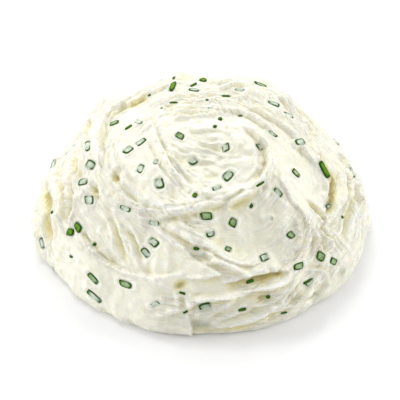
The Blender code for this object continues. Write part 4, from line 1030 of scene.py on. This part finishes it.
laid = [lay(*row) for row in CHIVES]
draw = np.random.default_rng(SEED + 1)
for pick in draw.permutation(len(skin_mm))[:BACK_TRIES]:
    where = skin_mm[pick]
    if where[2] < LOWEST_CHIVE or not hidden_from_camera(where):
        continue
    if min(np.linalg.norm(where - row[0]) for row in laid) < CHIVE_GAP:
        continue
    middle, up = lie_of_skin(where, skin_mm)
    side = np.cross(up, draw.normal(size=3))
    side /= np.linalg.norm(side)
    kind = draw.choice(("filmed", "outlined", "green", "half", "dark"), p=(0.4, 0.2, 0.1, 0.2, 0.1))
    small = 0.5 if kind == "dark" else 1.0
    laid.append((middle, np.cross(side, up), side, up, draw.uniform(3.4, 5.0) * (0.5 + small / 2),
                 draw.uniform(2.3, 3.0) * small, str(kind)))
print(len(laid) - len(CHIVES), "more chives lie where the camera can't see")

# %% [markdown]
# ## Seats for the chives
#
# A chive doesn't lie on the cream like a leaf on snow: the cream rises to it all round. So the skin
# under each chive is pulled to the chive's own plane, with a low collar just outside its edge.
# Thin cheese over green looks grey-green, which we note for every corner of the skin as its haze.
# Past a chive's edge the haze is a painted contact shadow. The collar stays nearly clear of it and is
# painted as a thin white rim, a painted highlight. A few spots are listed with a haze of their own:
# wide, faint ones that are painted shade, and small ones where a chive lies near or under the
# surface.

# %% Press the seats and note the haze
SHADE_AND_HAZE_SPOTS = (
    # painted shade and chive haze: two ends, width in millimetres, strength
    (203, 150, 232, 163, 7.0, 0.30), (225, 222, 276, 240, 8.0, 0.13), (115, 285, 160, 300, 6.0, 0.10),
    (70, 265, 100, 280, 6.0, 0.11), (130, 138, 152, 172, 5.0, 0.12), (290, 158, 312, 190, 5.0, 0.09),
    (194, 325.5, 206, 325, 1.6, 0.70), (291, 173, 298, 178, 1.2, 0.10), (198, 255, 203, 257, 0.9, 0.20),
    (192, 288, 245, 291, 2.5, 0.08),
)
# the haze over each kind of chive, and over the kinds that aren't named, which past the chive's edge is
# a painted contact shadow
HAZE_AND_SHADE_OVER = {"sunk": 0.45, "faint": 0.30, "ends": 0.30, "half": 0.35, "dark": 0.30}
HAZE_AND_SHADE_OVER_REST = 0.18
SEAT_REACH = 6


def near_line(x1, y1, x2, y2, width):
    """1 for corners of the skin on the line between two spots of the picture, fading with width."""
    one, two = (np.array(spot(x, y)) / MM for x, y in ((x1, y1), (x2, y2)))
    way = two - one
    share = np.clip((skin_mm - one) @ way / (way @ way), 0, 1)
    apart = np.linalg.norm(skin_mm - one - share[:, None] * way, axis=1)
    return np.exp(-((apart / width) ** 2))


haze_and_shade = np.zeros(len(skin_mm))
seat_highlight = np.zeros(len(skin_mm))
for *line, strength in SHADE_AND_HAZE_SPOTS:
    haze_and_shade += strength * near_line(*line)
for middle, along, side, up, length, width, kind in laid:
    away = skin_mm - middle
    near = np.nonzero((away**2).sum(axis=1) < SEAT_REACH**2)[0]
    x, y, z = (away[near] @ axis for axis in (along, side, up))
    ring = ((np.abs(x) / (0.5 * length)) ** 4 + (np.abs(y) / (0.5 * width)) ** 4) ** 0.25
    outside = (ring - 1) * 0.5 * min(length, width)
    if kind != "sunk":
        hold = 1 - smooth_step(0.1, 1.1, outside)
        collar = 0.16 * np.exp(-(((outside - 0.45) / 0.35) ** 2))
        change = (-z - 0.05) * hold + collar
        skin_mm[near] += change[:, None] * up
    # the haze of green under the film, which past the chive's edge is a painted contact shadow
    soft = np.exp(-((np.maximum(outside, 0) / 0.8) ** 2))
    haze_and_shade[near] = np.maximum(haze_and_shade[near], HAZE_AND_SHADE_OVER.get(kind, HAZE_AND_SHADE_OVER_REST) * soft)
    # painted highlight: a thin white ring round each chive's seat, which also clears the haze there
    if kind != "sunk":
        ring_light = 0.9 * np.exp(-(((outside - 0.55) / 0.25) ** 2))
        seat_highlight[near] = np.maximum(seat_highlight[near], ring_light)
haze_and_shade *= 1 - 0.8 * seat_highlight
skin_mm[:, 2] = np.where(ways[:, 2] < 1e-6, 0.0, np.maximum(skin_mm[:, 2], 0.0))
write_points(skin.data, skin_mm * MM)
print("corners under a haze:", int((haze_and_shade > 0.1).sum()))

# %% The chives themselves
CHIVE_THICKNESS = 1.0
# how thick the film gets where it runs over the edge, for the kinds where it does
FILM_OVER_EDGE = {"filmed": 0.85, "half": 0.75, "faint": 0.70, "outlined": 0.55, "green": 0.25}


def chive_mesh(name, row, seed):
    """One chive: the blank, stretched and bent out of true, with its film, edge and tone noted."""
    middle, along, side, up, length, width, kind = row
    film, proud, lean = SHOWS[kind]
    draw = np.random.default_rng(seed)
    c, s, z = blank_points.T
    radius = np.maximum(np.hypot(c, s), 1e-9)
    round_it = np.arctan2(s, c)
    wobble = 1 + 0.07 * np.sin(2 * round_it + draw.uniform(0, 6)) \
        + 0.045 * np.sin(3 * round_it + draw.uniform(0, 6))
    square = draw.uniform(0.42, 0.68)
    x = np.sign(c) * np.abs(c / radius) ** square * radius * 0.5 * length * wobble
    y = np.sign(s) * np.abs(s / radius) ** square * radius * 0.5 * width * wobble
    x = x + draw.uniform(-0.25, 0.35) * y
    tilt = math.radians(lean)
    level = proud + (z - 1) * 0.5 * CHIVE_THICKNESS
    y, level = y * math.cos(tilt), level + y * math.sin(tilt)
    points = middle + x[:, None] * along + y[:, None] * side + level[:, None] * up
    points[:, 2] = np.maximum(points[:, 2], 0.2)
    mesh = bpy.data.meshes.new(name)
    mesh.from_pydata((points * MM).tolist(), [], blank_faces)
    gap = 0.15 + 0.60 * np.sin(round_it + draw.uniform(0, 6)) \
        + 0.45 * np.sin(3 * round_it + draw.uniform(0, 6))
    gap = np.clip(gap, 0, 1) * FILM_OVER_EDGE.get(kind, 0.0)
    cover = film * np.maximum(1 - smooth_step(0.52, 0.76, radius), gap)
    if kind in ("ends", "faint"):
        fall = 1.6 if kind == "ends" else 1.3
        cover = np.maximum(cover, 1.2 - fall * np.abs(x) / (0.5 * length))
    rim = np.maximum(smooth_step(0.66, 0.84, radius), 0.65 if kind == "dark" else 0.0)
    tone = draw.uniform(0.6, 1) if kind in ("green", "outlined") else draw.uniform(0, 0.6)
    for key, values in (("film", np.clip(cover, 0, 1)), ("edge", rim),
                        ("tone", np.full(len(z), tone))):
        mesh.attributes.new(key, "FLOAT", "POINT").data.foreach_set("value", values)
    made = bpy.data.objects.new(name, mesh)
    bpy.context.scene.collection.objects.link(made)
    return made


bits = [chive_mesh(f"chive_{k:03d}", row, SEED + k) for k, row in enumerate(laid)
        if row[6] != "sunk"]
clear_selection()
for bit in bits:
    bit.select_set(True)
bpy.context.view_layer.objects.active = bits[0]
bpy.ops.object.join()
chives = bpy.context.object
chives.name = chives.data.name = "chives"
bpy.ops.object.shade_smooth()
print("chives:", len(bits), "pieces,", len(chives.data.polygons), "faces")

# %% [markdown]
# ## What the finishes need to know
#
# Three things about the cream's colour depend on its shape. The creases get a painted shade, darker
# and yellower, standing for the light that goes into a crease and comes out yellower because it has
# passed through more cheese. The thin crests get a painted highlight of white. And the fine lines of
# the knife follow the swirl. So we measure each corner's height against that of its neighbours, near
# and far, and its place in the swirl, as a distance from the eye and a direction. A few creases that
# the picture shows as clearly yellow are listed for more painted shade, and so is the white top of
# the long ridge, as a painted highlight.

# %% Depth of the creases
CREASE_SHADE_SPOTS = (
    # painted shade in creases and along the front of the foot: two ends, width in millimetres, strength
    (115.5, 175.5, 116.0, 179.5, 1.6, 0.45), (76.5, 160.0, 78.0, 171.0, 1.3, 0.6),
    (111.0, 115.0, 133.0, 106.0, 1.0, 1.0), (133.0, 106.0, 143.0, 98.5, 1.2, 1.1),
    (88.5, 128.0, 91.0, 120.0, 1.2, 0.6), (184.0, 79.5, 196.0, 78.5, 3.0, 0.5),
    (43.5, 198.0, 45.5, 222.0, 1.6, 0.8), (47.0, 194.0, 49.0, 212.0, 1.1, 1.2),
    (46.4, 214.0, 47.4, 229.0, 1.1, 0.9), (177.0, 286.0, 182.0, 284.5, 1.4, 0.50),
    (321.0, 156.0, 330.0, 178.0, 1.3, 0.5), (331.5, 178.0, 332.0, 207.0, 1.7, 1.0),
    (345.6, 184.0, 345.6, 194.0, 0.9, 0.6),
    (236.7, 203.2, 249.0, 196.5, 1.0, 0.7), (246.0, 280.2, 258.0, 277.2, 1.1, 0.9),
    (258.0, 277.2, 281.0, 272.8, 1.1, 0.9), (322.5, 230.5, 329.0, 238.0, 1.0, 0.4),
    (311.0, 202.5, 323.0, 217.5, 0.9, 0.3),
    (191.0, 253.5, 201.0, 260.0, 1.2, 0.3), (269.0, 145.0, 268.0, 164.0, 1.0, 0.5),
    (200.0, 331.5, 240.0, 329.0, 0.7, 0.5), (240.0, 329.0, 282.0, 317.5, 0.7, 0.4),
    (195.0, 327.5, 205.0, 326.5, 1.1, 0.8),
)
# painted highlight along the white top of the long ridge: two ends, width in millimetres, strength
PAINTED_HIGHLIGHT_LINES = (
    (128, 186, 150, 206, 3.0, 0.6), (150, 206, 190, 210, 2.2, 0.7), (190, 210, 222, 199, 1.8, 0.6),
    (222, 199, 246, 186, 1.6, 0.5),
)

edges = np.empty(2 * len(skin.data.edges), dtype=np.int32)
skin.data.edges.foreach_get("vertices", edges)
left, right = edges.reshape(-1, 2).T
joined_to = np.bincount(left, minlength=len(skin_mm)) + np.bincount(right, minlength=len(skin_mm))


def evened(values, rounds):
    """The values, each time half replaced by the average of their neighbours."""
    for _ in range(rounds):
        total = np.bincount(left, values[right], len(values)) \
            + np.bincount(right, values[left], len(values))
        values = 0.5 * values + 0.5 * total / joined_to
    return values


narrow = evened(height, 12) - evened(height, 1)
broad = evened(height, 160) - evened(height, 8)
# deep: how much painted shade each corner gets, from the depth of its crease and the listed spots
deep = 0.5 * smooth_step(0.05, 0.5, narrow) + 0.5 * smooth_step(0.2, 1.5, broad)
for *line, strength in CREASE_SHADE_SPOTS:
    deep += 1.2 * strength * near_line(*line) * (0.4 + smooth_step(-0.3, 0.8, broad))
deep = np.clip(evened(deep, 2), 0, 1.6)
# crest: the painted highlight on thin crests, round the chives' seats and along the listed lines
crest = np.maximum(smooth_step(0.02, 0.25, -narrow), seat_highlight)
for *line, strength in PAINTED_HIGHLIGHT_LINES:
    crest = np.maximum(crest, strength * near_line(*line) * (1 - np.clip(deep, 0, 1)))
print("share of the skin that lies in creases:", round(float((deep > 0.4).mean()), 3))

# %% Place in the swirl


def note(mesh, name, values):
    """Stores a number or a vector for each corner, which a material can read by its name."""
    kind, key = ("FLOAT_VECTOR", "vector") if values.ndim == 2 else ("FLOAT", "value")
    mesh.attributes.new(name, kind, "POINT").data.foreach_set(key, values.ravel())


map_x, map_y = map_a - EYE[0], map_b - EYE[1]
eye_distance = np.hypot(map_x, map_y)
swirl = np.stack([eye_distance + waver(map_a, map_b), map_x / (eye_distance + 1),
                  map_y / (eye_distance + 1)], axis=1)
measures = {"deep": deep, "crest": crest, "haze_and_shade": haze_and_shade, "swirl": swirl, "smooth": smooth,
            "torn": torn}
for name, values in measures.items():
    note(skin.data, name, values)
print("noted for", len(deep), "corners:", ", ".join(measures))

# %% [markdown]
# ## Grain, shared by both finishes
#
# Cream and wet chive both have a fine grain that breaks up the light. It is the same effect at two
# strengths, so we build it once as a node group, with its size and height as inputs, and use it in
# both materials. It reads Object coordinates: they are in metres, which fixes the grain's real size.

# %% A node group for the grain


def put(tree, kind, inputs=None, **settings):
    """Adds a node. Inputs are values, or outputs of other nodes to link."""
    made = tree.nodes.new(kind)
    for name, value in settings.items():
        setattr(made, name, value)
    for key, value in (inputs or {}).items():
        if isinstance(value, bpy.types.NodeSocket):
            tree.links.new(value, made.inputs[key])
        else:
            made.inputs[key].default_value = value
    return made


def maths(tree, operation, first, second=0.0, third=0.0):
    return put(tree, "ShaderNodeMath", {0: first, 1: second, 2: third},
               operation=operation).outputs[0]


def noise_map(tree, place, scale, detail, roughness=0.5):
    """The grey value of a noise texture."""
    return put(tree, "ShaderNodeTexNoise", {"Vector": place, "Scale": scale, "Detail": detail,
                                            "Roughness": roughness}).outputs["Fac"]


def ramp(tree, value, from_min, from_max, to_min=0.0, to_max=1.0):
    """Stretches one range of values to another, and holds what lies beyond its ends."""
    return put(tree, "ShaderNodeMapRange", {"Value": value, "From Min": from_min,
               "From Max": from_max, "To Min": to_min, "To Max": to_max}).outputs[0]


grain = bpy.data.node_groups.new("fine_grain", "ShaderNodeTree")
for name, kind, value in (("Place", "NodeSocketVector", None), ("Per Metre", "NodeSocketFloat", 2000.0),
                          ("Height", "NodeSocketFloat", 1.0)):
    socket = grain.interface.new_socket(name, in_out="INPUT", socket_type=kind)
    if value is not None:
        socket.default_value = value
for name in ("Relief", "Sparkle"):
    grain.interface.new_socket(name, in_out="OUTPUT", socket_type="NodeSocketFloat")
given = grain.nodes.new("NodeGroupInput")
coarse = noise_map(grain, given.outputs["Place"], given.outputs["Per Metre"], 2.0, 0.6)
size = maths(grain, "MULTIPLY", given.outputs["Per Metre"], 2.6)
fine = noise_map(grain, given.outputs["Place"], size, 1.0)
both = maths(grain, "MULTIPLY_ADD", fine, 0.45, coarse)
asked = grain.nodes.new("NodeGroupOutput")
grain.links.new(maths(grain, "MULTIPLY", both, given.outputs["Height"]), asked.inputs["Relief"])
grain.links.new(fine, asked.inputs["Sparkle"])
print("node group", grain.name, "has", len(grain.nodes), "nodes")

# %% [markdown]
# ## The cream's finish
#
# Whipped cheese is white with a breath of yellow, and light travels a short way inside it, so it
# needs subsurface scattering. Its crests get a painted highlight of white specks and its creases a
# painted shade, darker and yellower. A chive just below the surface shows as haze, and the same haze
# is painted shade and painted contact shadow elsewhere. The knife's finest lines are too thin for our
# mesh, so they are bump: noise stretched along the swirl, folded at its middle value so that each line
# is a sharp ridge, with painted shade in the hollows between them. The noted smoothness wipes them
# out, and crests and torn edges get crumbs instead. A wet surface is glossy in some places and dull
# in others.

# %% Cream


def new_material(name, **sockets):
    made = bpy.data.materials.new(name)
    made.use_nodes = True
    shader = made.node_tree.nodes["Principled BSDF"]
    for key, value in sockets.items():
        shader.inputs[key.replace("_", " ")].default_value = value
    return made, made.node_tree, shader


def mix_colour(tree, factor, first, second):
    return put(tree, "ShaderNodeMix", {"Factor": factor, 6: first, 7: second},
               data_type="RGBA").outputs[2]


def attribute(tree, name, output="Fac"):
    return put(tree, "ShaderNodeAttribute", attribute_name=name).outputs[output]


# the cream's own two tones, then colours for painted highlight, painted shade and the haze, which is
# partly painted shade
CREAM = (0.890, 0.877, 0.781, 1)
WARM_CREAM = (0.877, 0.858, 0.732, 1)
PAINTED_CREST_HIGHLIGHT = (0.975, 0.965, 0.890, 1)
MOTTLE_AND_LINE_SHADE = (0.712, 0.676, 0.525, 1)
CREASE_SHADE = (0.810, 0.745, 0.420, 1)
DEEPEST_SHADE = (0.560, 0.490, 0.210, 1)
HAZE_AND_SHADE_GREY = (0.465, 0.500, 0.400, 1)

cream, tree, shader = new_material("whipped_cream_cheese", IOR=1.46, Subsurface_Weight=1.0,
                                   Subsurface_Radius=(1.0, 0.87, 0.63), Subsurface_Scale=0.0004)
place = put(tree, "ShaderNodeTexCoord").outputs["Object"]
swirl_place = attribute(tree, "swirl", "Vector")
lines = []
for stretch in ((1.1, 2.4, 2.4), (2.6, 5.0, 5.0)):
    scaled = put(tree, "ShaderNodeVectorMath", {0: swirl_place, 1: stretch}, operation="MULTIPLY")
    wave = noise_map(tree, scaled.outputs[0], 1.0, 1.0)
    off_crest = maths(tree, "ABSOLUTE", maths(tree, "SUBTRACT", wave, 0.5))
    lines.append(maths(tree, "MULTIPLY_ADD", off_crest, -2.0, 1.0))
crumbs = maths(tree, "MULTIPLY_ADD", attribute(tree, "crest"), 0.40,
               maths(tree, "ADD", attribute(tree, "torn"), 0.22))
grains = put(tree, "ShaderNodeGroup", {"Place": place, "Per Metre": 900.0, "Height": crumbs},
             node_tree=grain)
combed_here = maths(tree, "MULTIPLY_ADD", attribute(tree, "smooth"), -0.8, 1.0)
eye_apart = put(tree, "ShaderNodeSeparateXYZ", {"Vector": swirl_place}).outputs["X"]
combed_here = maths(tree, "MULTIPLY", combed_here, ramp(tree, eye_apart, 12.0, 24.0))
line_sum = maths(tree, "MULTIPLY_ADD", lines[1], 0.6, lines[0])
line_sum = maths(tree, "MULTIPLY", line_sum, combed_here)
relief_sum = maths(tree, "ADD", line_sum, grains.outputs["Relief"])
bump = put(tree, "ShaderNodeBump", {"Strength": 1.0, "Distance": 0.0006, "Height": relief_sum})
tree.links.new(bump.outputs[0], shader.inputs["Normal"])

colour = mix_colour(tree, noise_map(tree, place, 110.0, 3.0), CREAM, WARM_CREAM)
gloss = noise_map(tree, place, 420.0, 2.0)
# the cream's own tone, darker and yellower in random patches
colour = mix_colour(tree, ramp(tree, gloss, 0.50, 0.70, 0.0, 0.30), colour, MOTTLE_AND_LINE_SHADE)
# painted shade in the hollows between the knife's fine lines
line_shade = ramp(tree, lines[1], 0.86, 0.62, 0.0, 0.22)
colour = mix_colour(tree, maths(tree, "MULTIPLY", line_shade, combed_here), colour, MOTTLE_AND_LINE_SHADE)
# painted highlight: white glinting specks on the crests
speckle = ramp(tree, grains.outputs["Sparkle"], 0.40, 0.58, 0.05, 1.0)
painted_highlight_here = maths(tree, "MULTIPLY", attribute(tree, "crest"), speckle)
colour = mix_colour(tree, painted_highlight_here, colour, PAINTED_CREST_HIGHLIGHT)
# painted shade: darker and yellower in the creases, darkest at their bottoms
depth = attribute(tree, "deep")
colour = mix_colour(tree, maths(tree, "MINIMUM", depth, 1.0), colour, CREASE_SHADE)
bottom = maths(tree, "MULTIPLY", maths(tree, "SUBTRACT", depth, 1.0), 1.4)
colour = mix_colour(tree, maths(tree, "MAXIMUM", bottom, 0.0), colour, DEEPEST_SHADE)
# grey-green haze where a chive lies under a thin film, painted shade on the listed spots and painted
# contact shadow round the chives
colour = mix_colour(tree, attribute(tree, "haze_and_shade"), colour, HAZE_AND_SHADE_GREY)
tree.links.new(colour, shader.inputs["Base Color"])

tree.links.new(ramp(tree, gloss, 0.3, 0.7, 0.20, 0.42), shader.inputs["Roughness"])
skin.data.materials.clear()
skin.data.materials.append(cream)
print("cream:", len(tree.nodes), "nodes")

# %% [markdown]
# ## The chives' finish
#
# A chive is deep green at its cut edge and brighter and blotched on its side. The film of cheese on
# it turns its middle a pale grey-green, cloudy where the film is thicker, and breaks the green edge
# where it runs out over it. Each copy carries its own tone, so that no two greens are quite the same.

# %% Green with a film
EDGE_GREEN = (0.022, 0.080, 0.001, 1)
DEEP_GREEN = (0.045, 0.150, 0.004, 1)
FRESH_GREEN = (0.125, 0.300, 0.008, 1)
FILM = (0.440, 0.520, 0.420, 1)
THICK_FILM = (0.680, 0.715, 0.610, 1)

green, tree, shader = new_material("chive_in_cream", IOR=1.40, Specular_IOR_Level=0.12)
place = put(tree, "ShaderNodeTexCoord").outputs["Object"]
colour = mix_colour(tree, attribute(tree, "tone"), DEEP_GREEN, FRESH_GREEN)
mottle = noise_map(tree, place, 1400.0, 2.0)
colour = mix_colour(tree, ramp(tree, mottle, 0.35, 0.65, 0.0, 0.35), colour, FRESH_GREEN)
colour = mix_colour(tree, ramp(tree, mottle, 0.50, 0.38, 0.0, 0.75), colour, EDGE_GREEN)
colour = mix_colour(tree, attribute(tree, "edge"), colour, EDGE_GREEN)
film_noise = maths(tree, "MULTIPLY_ADD", maths(tree, "SUBTRACT", mottle, 0.5), 0.5,
                   attribute(tree, "film"))
thick = ramp(tree, noise_map(tree, place, 650.0, 2.0), 0.40, 0.62)
film_colour = mix_colour(tree, thick, FILM, THICK_FILM)
colour = mix_colour(tree, ramp(tree, film_noise, 0.1, 0.9), colour, film_colour)
tree.links.new(colour, shader.inputs["Base Color"])
grains = put(tree, "ShaderNodeGroup", {"Place": place, "Per Metre": 1800.0, "Height": 0.25},
             node_tree=grain)
bump = put(tree, "ShaderNodeBump", {"Strength": 1.0, "Distance": 0.0002,
                                    "Height": grains.outputs["Relief"]})
tree.links.new(bump.outputs[0], shader.inputs["Normal"])
rough = maths(tree, "MULTIPLY_ADD", grains.outputs["Sparkle"], 0.30, 0.35)
tree.links.new(rough, shader.inputs["Roughness"])
chives.data.materials.clear()
chives.data.materials.append(green)
print("chives:", len(tree.nodes), "nodes")

# %% [markdown]
# ## Attach the pieces to the body
#
# The skin stands for the solid mound, and both pieces ride on the one body of this object.

# %% Ride on the body
for piece, finish in ((skin, "cream"), (chives, "chive")):
    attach(piece, "root")
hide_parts("cream_cheese")
print("pieces:", skin.name, "and", chives.name)

# %% [markdown]
# ## Table and light
#
# The picture is a bright one on white. The white room gives most of the light. A small lamp above
# and behind at the left draws the crests, a panel behind lights the top, and a panel at each side
# keeps the flanks bright. The table is matt and nearly white; the mound leaves a soft shadow round
# its foot.

# %% Table
clear_selection()
bpy.ops.mesh.primitive_plane_add(size=4, location=(0, 0, 0))
table = bpy.context.object
table.name = table.data.name = "table"
TABLE_WHITE = (0.90, 0.90, 0.905, 1)
white, _, _ = new_material("matt_white", Roughness=0.6, Base_Color=TABLE_WHITE)
table.data.materials.append(white)

# %% Lights


def area_light(name, location, aim, size, power, colour=(1, 1, 1)):
    lamp = bpy.data.lights.new(name, "AREA")
    lamp.size, lamp.energy, lamp.color = size, power, colour
    made = bpy.data.objects.new(name, lamp)
    bpy.context.scene.collection.objects.link(made)
    made.location = location
    made.rotation_euler = (Vector(aim) - Vector(location)).to_track_quat("-Z", "Y").to_euler()
    return made


MOUND_MIDDLE = (0, 0, 0.02)
area_light("soft_key", (-0.20, 0.18, 0.55), MOUND_MIDDLE, 0.16, 0.65, (1.0, 0.995, 0.98))
area_light("back_panel", (0.0, 0.42, 0.42), MOUND_MIDDLE, 0.25, 1.05)
area_light("left_panel", (-0.60, 0.0, 0.22), MOUND_MIDDLE, 0.25, 1.3)
area_light("right_panel", (0.60, 0.0, 0.22), MOUND_MIDDLE, 0.25, 1.25)
room = bpy.data.worlds.new("white_room")
room.use_nodes = True
background = room.node_tree.nodes["Background"].inputs
background["Color"].default_value = (1.0, 1.0, 1.0, 1)
background["Strength"].default_value = 0.78
bpy.context.scene.world = room
bpy.context.scene.view_settings.view_transform = "Standard"
print("lights are on")
